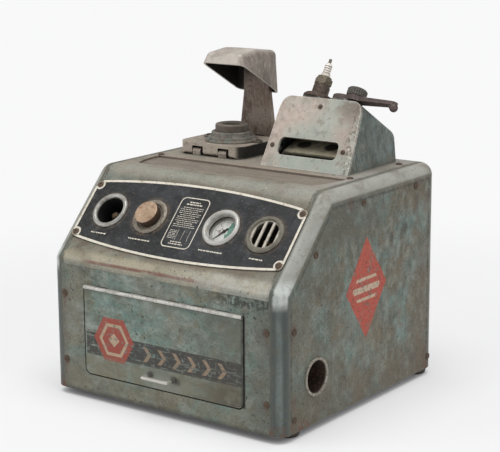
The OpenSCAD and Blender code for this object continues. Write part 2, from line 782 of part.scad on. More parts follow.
module gap_cup() {
  color("dimgray") on_bevel(outer_u, dial_v) difference() {
    translate([0, 0, -case_d]) cylinder(r = case_r, h = case_d + fascia_t - 0.1);
    translate([0, 0, -case_d + 2]) cylinder(r = case_r - 1.1, h = case_d + 2);
  }
}
module gap_points() {
  color("goldenrod") on_bevel(outer_u, dial_v) translate([0, 0, -case_d + 2]) {
    for (s = [-1, 1]) translate([s * 9, 0, 0]) {
      cylinder(r = 3, h = 12);
      translate([-s * 3.4, 0, 9]) rod_x(1, 8);
    }
  }
}

// The cleaner casting: a low hollow lid that tips forward on two hinge pins in its front edge.
cl_left = -cl_x - cl_w / 2;
arm_x = boot_pos[0] - 1;
ear_t = 6;
module cleaner_base() {
  color("tan") translate([0, 0, deck_z]) difference() {
    union() {
      translate([-cl_x, cl_y + cl_d / 2 - 5, cl_seat]) linear_extrude(cl_h - cl_seat)
        round_rect(cl_w, cl_d - 10, cl_r);
      for (s = [-1, 1]) translate([arm_x + s * (arm_w / 2 + 0.4 + ear_t / 2), cl_y + arm_y, 0]) {
        translate([0, 0, arm_z]) rod_x(8.5, ear_t);
        translate([-ear_t / 2, -14, cl_seat]) cube([ear_t, 14 + 8.5, arm_z]);
      }
    }
    translate([-cl_x, cl_y + cl_d / 2 + 1, -1]) linear_extrude(cl_h - cl_wall + 1)
      round_rect(cl_w - 2 * cl_wall, cl_d - 34, cl_r - cl_wall);
    translate([boot_pos[0], boot_pos[1], 0]) cylinder(r = boot_r - 2, h = 2 * cl_h);
    difference() {
      translate([cl_left - 1, cl_y - 1, -1]) cube([cl_w + 2, 1 + cl_pin_y, 1 + cl_pin_z]);
      translate([-cl_x, cl_y + cl_pin_y, cl_pin_z]) rod_x(cl_pin_y, cl_w + 4);
    }
    for (s = [-1, 1]) translate([lug_x + s * notch_u, 0, 0]) {
      translate([-notch_w / 2, cl_y - 1, -1]) cube([notch_w, 1 + cl_pin_y + lug_reach, 1 + cl_pin_z + lug_reach + 1]);
      translate([0, cl_y + cl_pin_y, cl_pin_z]) rod_x(cl_pin_r + run_gap, notch_w + 12);
    }
    translate([arm_x - arm_w / 2 - 0.4, cl_y + arm_y - 15, -1]) cube([arm_w + 0.8, 40, 2 * cl_h]);
    translate([arm_x, cl_y + arm_y, arm_z]) rod_x(arm_pin_r + run_gap, arm_w + 2 * ear_t + 6);
    for (s = [-1, 1]) translate([boot_pos[0] + s * ear_u, boot_pos[1] + 3, 0]) cylinder(r = 1.8, h = 2 * cl_h);
  }
}
module cleaner_lugs() {
  l = notch_w * 0.72;
  color("silver") translate([0, 0, deck_z]) difference() {
    for (s = [-1, 1]) translate([lug_x + s * notch_u - notch_w / 2 + 0.4, cl_y + cl_pin_y, 0]) {
      translate([l / 2, 0, cl_pin_z]) rod_x(lug_r, l);
      translate([0, -lug_r + 0.4, 0]) cube([l, 2 * lug_r - 0.8, cl_pin_z]);
    }
    translate([-cl_x, cl_y + cl_pin_y, cl_pin_z]) rod_x(cl_pin_r + run_gap, cl_w);
  }
}
module cleaner_pins() {
  color("dimgray") for (s = [-1, 1])
    translate([lug_x + s * notch_u, cl_y + cl_pin_y, deck_z + cl_pin_z]) rod_x(cl_pin_r, notch_w + 11);
}
// The ring that holds the rubber boot down, with an ear and a screw on each side.
module clamp_ring() {
  color("dimgray") on_boot() difference() {
    union() {
      rotate_extrude() polygon([
        [boot_r + 0.3, 0], [ring_r, 0], [ring_r, 1.6], [ring_r - 4, 3.2], [ring_r - 5, 6.2], [ring_r - 7.5, 7],
        [ring_r - 8.6, 9], [ring_r - 9, 12.2], [ring_r - 10.5, 13], [boot_r + 0.3, 13]
      ]);
      for (s = [-1, 1]) translate([0, 3, 0]) {
        translate([s * ear_u, 0, 0]) cylinder(r = 6.5, h = 3);
        translate([s > 0 ? ring_r - 4 : -ear_u, -6.5, 0]) cube([ear_u - ring_r + 4, 13, 3]);
      }
    }
    for (s = [-1, 1]) translate([s * ear_u, 3, -1]) cylinder(r = 1.8, h = 6);
    translate([0, 0, -eps]) cylinder(r = boot_r + 6.2, h = 4.2);
  }
}
ring_screw_l = 12;
module ring_screws() {
  color("sienna") on_boot() for (s = [-1, 1]) translate([s * ear_u, 3, 3]) rotate([0, 0, 30 * s + 20])
    pan_screw(3.6, 2, 1.65, ring_screw_l);
}
module rubber_boot() {
  b = boot_bore;
  color("#2e2723") on_boot() rotate_extrude() polygon([
    [b + 4, 0], [boot_r + 6, 0], [boot_r + 6, 4], [boot_r, 4.1], [boot_r, boot_h - 1.6],
    [boot_r - 1.6, boot_h], [b + 3, boot_h], [b, boot_h - 1.6], [b, boot_h - 8], [b + 4, boot_h - 12]
  ]);
}
// The arm: a web with a rib down each side, forked at its foot round the return spring.
module hood_arm() {
  y = cl_y + arm_y;
  wide = [arm_w / 2, arm_top_w / 2];
  color("#6b5b4e") translate([arm_x, 0, deck_z]) difference() {
    union() {
      translate([0, y - 6, 0]) rotate([90, 0, 0]) translate([0, 0, -arm_t]) linear_extrude(arm_t) polygon([
        [-wide[0], arm_z], [wide[0], arm_z], [wide[0], arm_wz[0]], [wide[1], arm_wz[0] + 43], [wide[1], arm_wz[1]],
        [-wide[1], arm_wz[1]], [-wide[1], arm_wz[0] + 43], [-wide[0], arm_wz[0]]
      ]);
      for (s = [-1, 1]) translate([s * (wide[0] - 5), y, arm_z]) rod_x(8, 10);
    }
    translate([0, y, arm_z]) rod_x(arm_pin_r + run_gap, arm_w + 4);
    translate([-fork_w / 2, y - 20, 0]) cube([fork_w, 40, arm_z + spring_r + spring_wire + 0.5]);
    translate([0, y - 6 + 4, 0]) rotate([90, 0, 0]) translate([0, 0, -arm_t]) linear_extrude(arm_t) polygon([
      [-wide[0] + 6, arm_z + 16], [wide[0] - 6, arm_z + 16], [wide[1] - 5, 84], [wide[1] - 5, arm_wz[1] - 30],
      [-wide[1] + 5, arm_wz[1] - 30], [-wide[1] + 5, 84]
    ]);
    for (s = [-1, 1]) translate([s * 12, y, arm_wz[1] - 12]) rotate([90, 0, 0])
      cylinder(r = 2 + hole_gap, h = 40, center = true);
  }
}
hood_y = cl_y + arm_y + 2 + rest_gap + hood_t - hood_l;
rim_front = 121;
rim_back = 74;
module hood_form(inset) {
  r = hood_r - inset;
  w = hood_w / 2 - hood_r;
  l = hood_l;
  hull() both_sides() {
    for (p = [
      [hood_r + 3, hood_z - 3 - hood_r, w - 5], [l * 0.5, hood_z - hood_r, w - 5],
      [l - hood_r, hood_z - 4 - hood_r, w - 4], [hood_r - 1, rim_front - 9, w],
      [l - hood_r, rim_back - 14, w]
    ]) translate([p[2], p[0], p[1]]) sphere(r = r, $fn = 32);
  }
}
// The cast hood that comes down over the plug while it is blasted.
module hood() {
  rim_a = atan2(rim_front - rim_back, hood_l);
  color("#8a8078") translate([arm_x - hood_shift, hood_y, deck_z]) difference() {
    hood_form(0);
    hood_form(hood_t);
    translate([0, 0, rim_front]) rotate([-rim_a, 0, 0]) translate([-hood_w, -20, -hood_l])
      cube([2 * hood_w, 2 * hood_l, hood_l]);
    for (s = [-1, 1]) translate([hood_shift + s * 12, hood_l, arm_wz[1] - 12]) rotate([90, 0, 0])
      cylinder(r = 2 + hole_gap, h = 40, center = true);
  }
}
module hood_rivets() {
  y = hood_y + hood_l;
  color("dimgray") for (s = [-1, 1]) translate([arm_x + s * 12, y, deck_z + arm_wz[1] - 12]) {
    translate([0, -hood_t - rest_gap - arm_t, 0]) rotate([-90, 0, 0]) cylinder(r = 2, h = arm_t + hood_t + rest_gap);
    intersection() {
      translate([0, -3, 0]) sphere(r = 5.2);
      rotate([-90, 0, 0]) cylinder(r = 4.2, h = 4);
    }
  }
}
module arm_pin() {
  color("dimgray") translate([arm_x, cl_y + arm_y, deck_z + arm_z]) rod_x(arm_pin_r, arm_w + 2 * ear_t + 3);
}
// The torsion spring that lifts the arm again: one wire wound round the pin.
spring_turns = 6;
spring_wire = 1.3;
spring_r = arm_pin_r + rest_gap + spring_wire;
spring_pitch = 3.6;
// Clear width of the arm's fork: a little more than the spring is long.
fork_w = spring_turns * spring_pitch + 2 * spring_wire + 2.4;
ring_n = 8;
side_n = 6;
function spring_centre(k) =
  let (a = 360 * k / ring_n) [spring_pitch * k / ring_n, spring_r * cos(a), spring_r * sin(a)];
function spring_ring(k) =
  let (a = 360 * k / ring_n)
  [for (j = [0 : side_n - 1]) let (b = 360 * j / side_n, q = spring_wire * cos(b))
    spring_centre(k) + [spring_wire * sin(b), q * cos(a), q * sin(a)]];
module arm_spring() {
  n = spring_turns * ring_n;
  pts = [for (k = [0 : n]) each spring_ring(k)];
  faces = concat(
    [[for (j = [0 : side_n - 1]) j]],
    [for (k = [0 : n - 1], j = [0 : side_n - 1]) let (a = k * side_n + j, b = k * side_n + (j + 1) % side_n)
      [a, a + side_n, b]],
    [for (k = [0 : n - 1], j = [0 : side_n - 1]) let (a = k * side_n + j, b = k * side_n + (j + 1) % side_n)
      [b, a + side_n, b + side_n]],
    [[for (j = [side_n - 1 : -1 : 0]) n * side_n + j]]
  );
  color("dimgray") translate([arm_x - spring_turns * spring_pitch / 2, cl_y + arm_y, deck_z + arm_z])
    polyhedron(points = pts, faces = faces, convexity = 4);
}
echo(spring_self_gap = spring_pitch - 2 * spring_wire);

// The hopper under the deck holds the grit, and the nozzle blows it up into the boot.
module hopper() {
  h = hopper_h;
  r = hopper_r;
  color("slategray") translate([boot_pos[0], boot_pos[1], deck_low]) rotate_extrude() polygon([
    [r + 10, 0], [r + 10, -sheet], [r + sheet, -sheet], [r + sheet, -30], [9 + sheet, -h], [9 + sheet, -h - 8],
    [6.2, -h - 8], [6.2, -h + sheet], [9, -h + sheet], [r, -30], [r, 0]
  ]);
}
nozzle_drop = 24;
nozzle_low = deck_z - sheet - hopper_h - nozzle_drop;
module blast_nozzle() {
  color("goldenrod") translate([boot_pos[0], boot_pos[1], nozzle_low]) {
    difference() {
      union() {
        cylinder(r = 6, h = hopper_h + 12);
        cylinder(r = 9, h = 15.5);
        translate([0, 0, hopper_h + 12 - eps]) cylinder(r = 4, h = 8);
      }
      translate([0, 0, 8]) cylinder(r = 2.5, h = hopper_h + 20);
    }
  }
}

// The test head: a cast housing that tapers upwards, closed at the front by a flat plate.
module housing_form(inset, front) {
  r = te_r - inset;
  top_u = te_w / 2 - te_taper - te_r;
  back_u = te_w / 2 - te_taper * te_back / te_h - te_r;
  hull() {
    for (s = [-1, 1]) {
      on_face(s * top_u, face_l - te_r) translate([0, 0, front]) cylinder(r = r, h = 0.1, $fn = 48);
      on_face(s * (te_w / 2 - inset) - (s > 0 ? 0.1 : 0), -6) translate([0, 0, front]) cube([0.1, 0.1, 0.1]);
      translate([te_x + s * back_u, te_y + te_d - inset, deck_z + te_back - te_r])
        rotate([90, 0, 0]) cylinder(r = r, h = 0.1, $fn = 48);
      translate([te_x + s * (te_w / 2 - inset), te_y + te_d - inset, deck_z - 4]) cube([0.1, 0.1, 0.1], center = true);
    }
  }
}
module at_port(s) {
  on_slope(s * port_u, port_s) children();
}
module test_housing() {
  color("darkseagreen") difference() {
    union() {
      housing_form(0, -plate_t);
      for (s = [-1, 1]) at_port(s) translate([0, 0, -te_wall]) cylinder(r = boss_r, h = te_wall + boss_h);
    }
    difference() {
      housing_form(te_wall, 2);
      for (p = plate_screw_uv) on_face(p[0], p[1]) translate([0, 0, -plate_t - 12]) plate_boss(p);
    }
    for (p = plate_screw_uv) on_face(p[0], p[1]) translate([0, 0, -12]) cylinder(r = 1.8, h = 20);
    on_face(0, -20) translate([-te_w, -20, -plate_t]) cube([2 * te_w, 2 * te_h + 40, 40]);
    translate([te_x - te_w, te_y - 40, deck_z - 20]) cube([2 * te_w, 2 * te_d, 20]);
    for (s = [-1, 1]) at_port(s) cylinder(r = port_r, h = 40, center = true);
    on_slope(lever_u, lever_s) cylinder(r = stud_r, h = 30, center = true);
  }
}
plate_screw_uv = [[0, face_l - 11.7], [-(te_w / 2 - 10), 28.6], [te_w / 2 - 15.5, 29]];
module plate_boss(p) {
  out = sign(p[0]);
  cylinder(r = 5, h = 20);
  translate([out < 0 ? -20 : out == 0 ? -5 : 0, out == 0 ? 0 : -5, 0]) cube([out == 0 ? 10 : 20, out == 0 ? 20 : 10, 20]);
}
module plate_outline() {
  top_u = te_w / 2 - te_taper;
  r = te_r;
  side_a = atan2(te_taper, face_l);
  polygon([[-te_w / 2, 0], [te_w / 2, 0], [top_u + te_taper * (r / face_l), face_l - r], [top_u - r, face_l - r],
    [top_u - r, face_l], [r - top_u, face_l], [r - top_u, face_l - r], [-top_u - te_taper * (r / face_l), face_l - r]]);
  for (s = [-1, 1]) translate([s * (top_u - r), face_l - r]) circle(r = r);
}
module test_plate() {
  color("#a8a08c") difference() {
    on_face() translate([0, 0, -plate_t + eps]) linear_extrude(plate_t) plate_outline();
    on_face(-2.5, view_v) translate([0, 0, -plate_t - 1]) linear_extrude(plate_t + 2) round_rect(view_w, view_h, 7);
    for (p = plate_screw_uv) on_face(p[0], p[1]) translate([0, 0, -plate_t - 1]) cylinder(r = 1.8, h = 20);
    translate([te_x - te_w, te_y - 40, deck_z - 20]) cube([2 * te_w, 2 * te_d, 20]);
  }
}
module plate_screws() {
  color("sienna") for (p = plate_screw_uv) on_face(p[0], p[1]) translate([0, 0, 2 * eps]) rotate([0, 0, 10 + p[0]])
    pan_screw(3.2, 1.6, 1.65, 12);
}
// The mirror lies behind the slot and shows the plug's sparking end from below.
mirror_a = 21.7;
mirror_l = te_d * 0.346;
mirror_w = view_w - 8;
mirror_low = [te_d * 0.138, te_h * 0.191];
module on_mirror() {
  translate([te_x, te_y + mirror_low[0], deck_z + mirror_low[1]]) rotate([mirror_a, 0, 0]) children();
}
module mirror_plate_size(t, grow) {
  translate([-mirror_w / 2 - grow, 0, 0]) cube([mirror_w + 2 * grow, mirror_l, t]);
}
module sight_mirror() {
  color("olive") on_mirror() mirror_plate_size(2, 0);
}
module mirror_bracket() {
  low = mirror_low - [0, 0.9];
  run = mirror_l * cos(mirror_a) - 3;
  color("wheat") {
    on_mirror() translate([0, 0, -1.6]) mirror_plate_size(1.55, 2);
    for (x = [-mirror_w / 2 - 2, mirror_w / 2]) translate([te_x + x, te_y, deck_z]) rotate([90, 0, 90])
      linear_extrude(2) polygon([
        [low[0], 0], [low[0] + run, 0], [low[0] + run, low[1] + run * tan(mirror_a)], low
      ]);
  }
}
module test_chamber() {
  w = 2 * (port_u + 2 * port_r);
  color("#5b4636") difference() {
    intersection() {
      on_slope(0, 0) translate([-w / 2, 8, -te_wall - 22]) cube([w, 30, 30]);
      housing_form(te_wall + 0.05, 2);
    }
    on_face(0, plate_screw_uv[0][1]) translate([-5.4, -5.4, -plate_t - 12.4]) cube([10.8, 40, 20]);
    for (s = [-1, 1]) at_port(s) {
      cylinder(r = port_r, h = 42, center = true);
      translate([0, 0, -te_wall - 23]) cylinder(r = port_r + 3, h = 6);
    }
    on_slope(lever_u, lever_s) cylinder(r = stud_r + 4, h = 60, center = true);
  }
}
// The bushing that adapts the left port to a smaller plug thread.
module port_adapter() {
  color("#4a3b33") at_port(-1) difference() {
    rotate_extrude() polygon([
      [0, -te_wall - 10], [port_r - run_gap, -te_wall - 10], [port_r - run_gap, boss_h], [adapter_r, boss_h],
      [adapter_r, boss_h + pad_t - 2], [adapter_r - 2, boss_h + pad_t], [collar_r, boss_h + pad_t],
      [collar_r, adapter_h - 1.5], [collar_r - 1.5, adapter_h], [0, adapter_h]
    ]);
    cylinder(r = thread_r + run_gap, h = 100, center = true);
  }
}
module plug_shell() {
  z = adapter_h;
  color("#7a6a58") at_port(-1) difference() {
    union() {
      translate([0, 0, z - thread_l]) cylinder(r = thread_r, h = thread_l + eps);
      translate([0, 0, z]) cylinder(r = thread_r + 3, h = 1.5);
      intersection() {
        translate([0, 0, z + 1.5]) rotate([0, 0, 15]) cylinder(r = hex_af / 2 / cos(30), h = 8.5, $fn = 6);
        translate([0, 0, z - 6.5]) sphere(r = 19.2);
      }
      translate([0, 0, z + 1.5]) cylinder(r = hex_af / 2 - 1, h = 10.5);
    }
    translate([0, 0, z - thread_l - 1]) cylinder(r = 4.6, h = thread_l + 14);
  }
}
module plug_insulator() {
  z = adapter_h;
  r = 5;
  top = plug_h - 6;
  color("white") at_port(-1) translate([0, 0, z]) difference() {
    rotate_extrude() polygon(concat(
      [[0, -thread_l + 4], [2.4, -thread_l + 4], [4.5, -2], [4.5, 12.3], [6.4, 12.4], [6.2, 16.6]],
      [for (i = [0 : 3]) each [[r - 0.8, 17.4 + i * 3.1], [r + 0.2, 18.6 + i * 3.1], [r - 0.2, 19.8 + i * 3.1]]],
      [[r - 1.4, top - 1.2], [r - 2.2, top], [0, top]]
    ));
    translate([0, 0, -20]) cylinder(r = 1.25, h = 100);
  }
}
module plug_terminal() {
  z = adapter_h;
  color("dimgray") at_port(-1) translate([0, 0, z]) {
    translate([0, 0, -thread_l + 1]) cylinder(r = 1.2, h = thread_l + plug_h - 6);
    translate([0, 0, plug_h - 6]) cylinder(r = 2, h = 6);
  }
}

// The lever swings a pad off the second port. The knurled cap clamps it on its stud.
lever_low = boss_h + rest_gap;
cap_low = lever_low + pad_t + 0.6 + rest_gap;
module valve_lever() {
  dx = port_u - lever_u;
  ds = port_s - lever_s;
  color("#6a3f36") on_slope(lever_u, lever_s) difference() {
    union() {
      translate([dx, ds, lever_low]) cylinder(r = 17.5, h = pad_t);
      translate([0, 0, lever_low]) cylinder(r = 11.5, h = pad_t + 0.6);
      hull() {
        translate([4, 0, lever_low]) cylinder(r = 8.5, h = lever_t, $fn = 32);
        translate([lever_l - 8, 0, lever_low]) cylinder(r = 6, h = lever_t - 1, $fn = 32);
      }
      hull() {
        translate([lever_l - 9, 0, lever_low + 1]) sphere(r = 5, $fn = 32);
        translate([lever_l - 5.5, 0, lever_low - 2.5]) sphere(r = 5.5, $fn = 32);
      }
    }
    cylinder(r = stud_r + run_gap, h = 60, center = true);
  }
}
module lever_stud() {
  color("dimgray") on_slope(lever_u, lever_s) translate([0, 0, -te_wall - 6.5]) {
    cylinder(r = stud_r - 0.02, h = te_wall + 6.5 + cap_low + cap_h - 3);
    cylinder(r = stud_r + 2.5, h = 6);
  }
}
module knurled_cap() {
  z = cap_low;
  flutes = 24;
  color("#37322d") on_slope(lever_u, lever_s) difference() {
    translate([0, 0, z]) rotate_extrude() polygon([
      [0, 0], [cap_r - 1.5, 0], [cap_r, 1.2], [cap_r, cap_h - 1.5], [cap_r - 1.5, cap_h], [0, cap_h]
    ]);
    for (i = [0 : flutes - 1]) rotate([0, 0, i * 360 / flutes]) translate([cap_r + 0.25, 0, z - 1])
      cylinder(r = 1, h = cap_h + 2);
    translate([0, 0, z - 1]) cylinder(r = stud_r + run_gap, h = cap_h - 1.5);
  }
}

// Air and ignition parts inside the cabinet.
inlet_left = 100;
inlet_in = 30;
inlet_x = seam_x - inlet_left;
inlet_z = foot_h + inlet_up;
module air_inlet() {
  base = [inlet_x, half_d - inlet_in, inlet_z];
  color("goldenrod") {
    translate([inlet_x, half_d + inlet_out, inlet_z]) rotate([90, 0, 0]) difference() {
      union() {
        cylinder(r = inlet_r, h = inlet_out + 24);
        translate([0, 0, inlet_out - 5]) cylinder(r = 11, h = 5, $fn = 6);
        translate([0, 0, inlet_out + sheet]) cylinder(r = 11, h = 5, $fn = 6);
      }
      translate([0, 0, -1]) cylinder(r = inlet_r - 2.3, h = inlet_out + 18);
    }
    pipe([base + [0, 8, 0], base + [0, -30, 0], [inlet_x, half_d - 60, inlet_z + 60],
      [boot_pos[0], boot_pos[1], nozzle_low - 12], [boot_pos[0], boot_pos[1], nozzle_low]], pipe_r);
  }
}
coil_pos = [seam_x - 60, cab_d * 0.2];
module ignition_coil() {
  color("black") translate([coil_pos[0], coil_pos[1], foot_h + sheet]) rotate_extrude() polygon([
    [0, 0], [coil_r - 2, 0], [coil_r, 2], [coil_r, coil_h - 2], [coil_r - 3, coil_h], [12, coil_h + 2],
    [11, coil_h + 22], [5, coil_h + 22], [5, coil_h + 10], [0, coil_h + 10]
  ]);
}
module coil_clamp() {
  band_low = coil_h * 0.286;
  color("silver") translate([coil_pos[0], coil_pos[1], foot_h + sheet]) difference() {
    union() {
      translate([0, 0, band_low]) cylinder(r = coil_r + sheet, h = band_low);
      translate([-coil_r - 16, -12, 0]) cube([2 * coil_r + 32, 24, sheet]);
      for (s = [-1, 1]) translate([s * (coil_r + 1) - sheet, -12, 0]) cube([2 * sheet, 24, 2 * band_low]);
    }
    translate([0, 0, -1]) cylinder(r = coil_r + 0.05, h = coil_h);
  }
}

left_side();
right_side();
top_wrap();
front_panel();
back_panel();
base_pan();
side_frames();
feet();
cabinet_screws();
storage_box();
door();
door_handle();
hinge_leaf();
hinge_flap();
hinge_pin();
fascia_plate();
indicator_bezel();
lamp_socket();
knob_dish();
control_knob();
control_valve();
gauge_bezel();
gauge_case();
gauge_dial();
gauge_pointer();
gauge_glass();
bourdon_tube();
gap_grille();
gap_cup();
gap_points();
exhaust_sleeve();
cleaner_base();
cleaner_lugs();
cleaner_pins();
clamp_ring();
ring_screws();
rubber_boot();
hood_arm();
hood();
hood_rivets();
arm_pin();
arm_spring();
hopper();
blast_nozzle();
test_housing();
test_plate();
plate_screws();
sight_mirror();
mirror_bracket();
test_chamber();
port_adapter();
plug_shell();
plug_insulator();
plug_terminal();
valve_lever();
lever_stud();
knurled_cap();
air_inlet();
ignition_coil();
coil_clamp();
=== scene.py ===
# %% [markdown]
# # A worn garage machine that cleans and tests ignition plugs
#
# The solid parts already exist as an engineering model: every panel, screw and casting has its true size
# and place. This notebook dresses that model. It rounds the castings' sharp edges, draws the printed lines
# on the control plate, and gives every piece a finish: old green-grey paint, brown grime, rubbed edges,
# dull plating, hard rubber, and in places painted shade and highlights. Lengths in the code are millimetres
# and are turned into metres where a mesh is made.

# %% Load the model
import bpy
import bmesh
import json
import math
from types import SimpleNamespace
from mathutils import Matrix, Vector


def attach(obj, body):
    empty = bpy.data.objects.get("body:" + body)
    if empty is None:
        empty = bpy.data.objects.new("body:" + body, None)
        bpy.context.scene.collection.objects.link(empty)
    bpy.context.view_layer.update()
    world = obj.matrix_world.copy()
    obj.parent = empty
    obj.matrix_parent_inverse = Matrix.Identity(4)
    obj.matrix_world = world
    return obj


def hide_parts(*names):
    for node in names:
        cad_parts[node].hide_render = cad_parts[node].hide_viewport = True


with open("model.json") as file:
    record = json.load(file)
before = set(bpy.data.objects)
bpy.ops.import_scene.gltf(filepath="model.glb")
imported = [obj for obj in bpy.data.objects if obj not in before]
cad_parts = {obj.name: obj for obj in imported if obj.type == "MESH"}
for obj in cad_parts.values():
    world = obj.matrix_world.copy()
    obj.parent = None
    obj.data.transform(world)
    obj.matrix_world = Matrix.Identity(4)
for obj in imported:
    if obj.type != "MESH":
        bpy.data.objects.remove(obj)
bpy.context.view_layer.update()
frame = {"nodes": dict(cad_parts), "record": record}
nodes = frame["nodes"]
body_of = {node: body for body, members in frame["record"]["behaviour"]["bodies"].items() for node in members}
slot_of = {part["node"]: part["material_slot"] for part in frame["record"]["subparts"]}
MM = 0.001
print("pieces in the model:", len(nodes))

# %% [markdown]
# ## The faces that things are mounted on
#
# The instruments stand on the sloping face, the plug stands on the test head's back slope, and so on. A
# matrix for each such face lets a shape be drawn flat and then be stood where it belongs. Each matrix has
# its Z axis pointing out of the face, like a drawing board turned to lie on it.

# %% Drawing boards on the machine's faces
def board(degrees, y, z, x=0):
    return Matrix.Translation((x * MM, y * MM, z * MM)) @ Matrix.Rotation(math.radians(degrees), 4, "X")


def at(place, u, v, h=0):
    return place @ Matrix.Translation((u * MM, v * MM, h * MM))


HALF_WIDTH, HALF_DEPTH, DECK_HEIGHT = 178, 175, 284
SLOPE_FOOT, SLOPE_RUN = 181, 98
SLOPE_RISE = DECK_HEIGHT - SLOPE_FOOT
BEVEL_ANGLE = math.degrees(math.atan2(SLOPE_RISE, SLOPE_RUN))
CONTROL_FACE = board(BEVEL_ANGLE, -HALF_DEPTH, SLOPE_FOOT)
FRONT = board(90, -HALF_DEPTH, 0)
UPRIGHT = Matrix.Rotation(math.radians(90), 4, "Z") @ Matrix.Rotation(math.radians(90), 4, "X")
RIGHT_SIDE = Matrix.Translation((HALF_WIDTH * MM, 0, 0)) @ UPRIGHT

TESTER_X, TESTER_Y = 70.5, 25.2
TESTER_HEIGHT, TESTER_LEAN = 85.9, 44.5
TESTER_BACK_HEIGHT, TESTER_DEPTH = 42.3, 115.6
SLOPE_ANGLE = math.degrees(math.atan2(TESTER_HEIGHT - TESTER_BACK_HEIGHT, TESTER_DEPTH - TESTER_LEAN))
TEST_FACE = board(math.degrees(math.atan2(TESTER_HEIGHT, TESTER_LEAN)), TESTER_Y, DECK_HEIGHT, TESTER_X)
TEST_SLOPE = board(-SLOPE_ANGLE, TESTER_Y + TESTER_LEAN, DECK_HEIGHT + TESTER_HEIGHT, TESTER_X)
PORT_U, PORT_V, ADAPTER_HEIGHT = 21, 20, 24.5

PLATE_V, SCREW_U, SCREW_V = 73.1, 156.6, 35.85
DIAL_V = math.hypot(SLOPE_RISE, SLOPE_RUN) / 2 + 2.7
DIALS = {"lamp": -120, "knob": -55.2, "gauge": 55.2, "grille": 120}
print("sloping face leans", round(BEVEL_ANGLE, 1), "degrees; test slope", round(SLOPE_ANGLE, 1))

# %% [markdown]
# ## Settling a piece on the machine
#
# Each new piece moves with one of the machine's bodies. Where it takes the place of an engineering solid,
# that solid is hidden but stays for the physics. One helper does all of this, so no piece is forgotten.

# %% Settle pieces and smooth them
def smooth(piece, degrees=30):
    mesh = piece.data
    mesh.polygons.foreach_set("use_smooth", [True] * len(mesh.polygons))
    mesh.set_sharp_from_angle(angle=math.radians(degrees))
    return piece


def settle(piece, body, stands_for=(), slot=None):
    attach(piece, body)
    if stands_for:
        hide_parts(*stands_for)
        slot = slot or slot_of[stands_for[0]]
    return piece


def to_piece(name, bm, place=None, finish=None):
    mesh = bpy.data.meshes.new(name)
    bm.to_mesh(mesh)
    bm.free()
    if place is not None:
        mesh.transform(place)
    piece = bpy.data.objects.new(name, mesh)
    bpy.context.scene.collection.objects.link(piece)
    if finish:
        mesh.materials.append(finish)
    return piece


def apply_changes(piece):
    bpy.context.view_layer.update()
    baked = bpy.data.meshes.new_from_object(piece.evaluated_get(bpy.context.evaluated_depsgraph_get()))
    piece.modifiers.clear()
    piece.data = baked
    return piece


# %% [markdown]
# ## Easing sharp edges
#
# An engineering solid has knife-sharp edges. Cast and pressed parts do not: a narrow round catches the
# light on every corner, and that thin bright line is what makes a render look solid. The helper copies a
# node's mesh, welds it, joins the flat facets and runs a Bevel modifier over edges that turn more than a
# set angle.

# %% Ease the edges of a node
SHARP_TURN = 32


def eased(node, round_mm, steps):
    source = nodes[node]
    bm = bmesh.new()
    bm.from_mesh(source.data)
    bmesh.ops.remove_doubles(bm, verts=bm.verts, dist=0.01 * MM)
    bmesh.ops.dissolve_limit(bm, angle_limit=math.radians(0.6), verts=bm.verts, edges=bm.edges)
    piece = to_piece(node + "_eased", bm)
    bevel = piece.modifiers.new("round", "BEVEL")
    bevel.width = round_mm * MM
    bevel.segments = steps
    bevel.limit_method = "ANGLE"
    bevel.angle_limit = math.radians(SHARP_TURN)
    smooth(piece, 180)
    even = piece.modifiers.new("even shading", "WEIGHTED_NORMAL")
    even.mode, even.weight = "FACE_AREA", 80
    apply_changes(piece)
    return settle(piece, body_of[node], (node,))


# %% [markdown]
# ## A small language for finishes
#
# A finish is a web of shader nodes. Written out node by node it is hard to read, so a Wire stands for one
# output of a node, and adding or multiplying two wires places a Math node. With that, a mask such as "near
# the top edge" is one line that reads like arithmetic. Masks use the piece's own position in millimetres,
# which is the same frame for every piece, so grime can run on across a seam.

# %% Wires: arithmetic that places shader nodes
def sign(operation, wire_first=True):
    """What + - * or / does beside a wire: it places a Math node for that operation."""
    def place_math(wire, other):
        pair = (wire, other) if wire_first else (other, wire)
        return math_node(wire.tree, operation, *pair)
    return place_math


class Wire:
    def __init__(self, tree, socket):
        self.tree, self.socket = tree, socket

    __add__, __radd__ = sign("ADD"), sign("ADD", wire_first=False)
    __sub__, __rsub__ = sign("SUBTRACT"), sign("SUBTRACT", wire_first=False)
    __mul__, __rmul__ = sign("MULTIPLY"), sign("MULTIPLY", wire_first=False)
    __truediv__, __rtruediv__ = sign("DIVIDE"), sign("DIVIDE", wire_first=False)


def plug_in(tree, socket, value):
    if isinstance(value, Wire):
        tree.links.new(value.socket, socket)
    elif value is not None:
        socket.default_value = value


def math_node(tree, operation, a, b=None, c=None, limit=False):
    node = tree.nodes.new("ShaderNodeMath")
    node.operation = operation
    node.use_clamp = limit
    for socket, value in zip(node.inputs, (a, b, c)):
        plug_in(tree, socket, value)
    return Wire(tree, node.outputs[0])


def vector_math(tree, operation, a, b=None):
    """A length or a dot product comes out as a number, all else as a vector."""
    node = tree.nodes.new("ShaderNodeVectorMath")
    node.operation = operation
    plug_in(tree, node.inputs[0], a)
    plug_in(tree, node.inputs[1], b)
    return Wire(tree, node.outputs["Value" if operation in ("LENGTH", "DOT_PRODUCT") else "Vector"])


def larger(a, b):
    return math_node(a.tree, "MAXIMUM", a, b)


def smaller(a, b):
    return math_node(a.tree, "MINIMUM", a, b)


def size_of(a):
    return math_node(a.tree, "ABSOLUTE", a)


def limited(a):
    return math_node(a.tree, "ADD", a, 0, limit=True)


def distance(u, v):
    return math_node(u.tree, "SQRT", u * u + v * v)


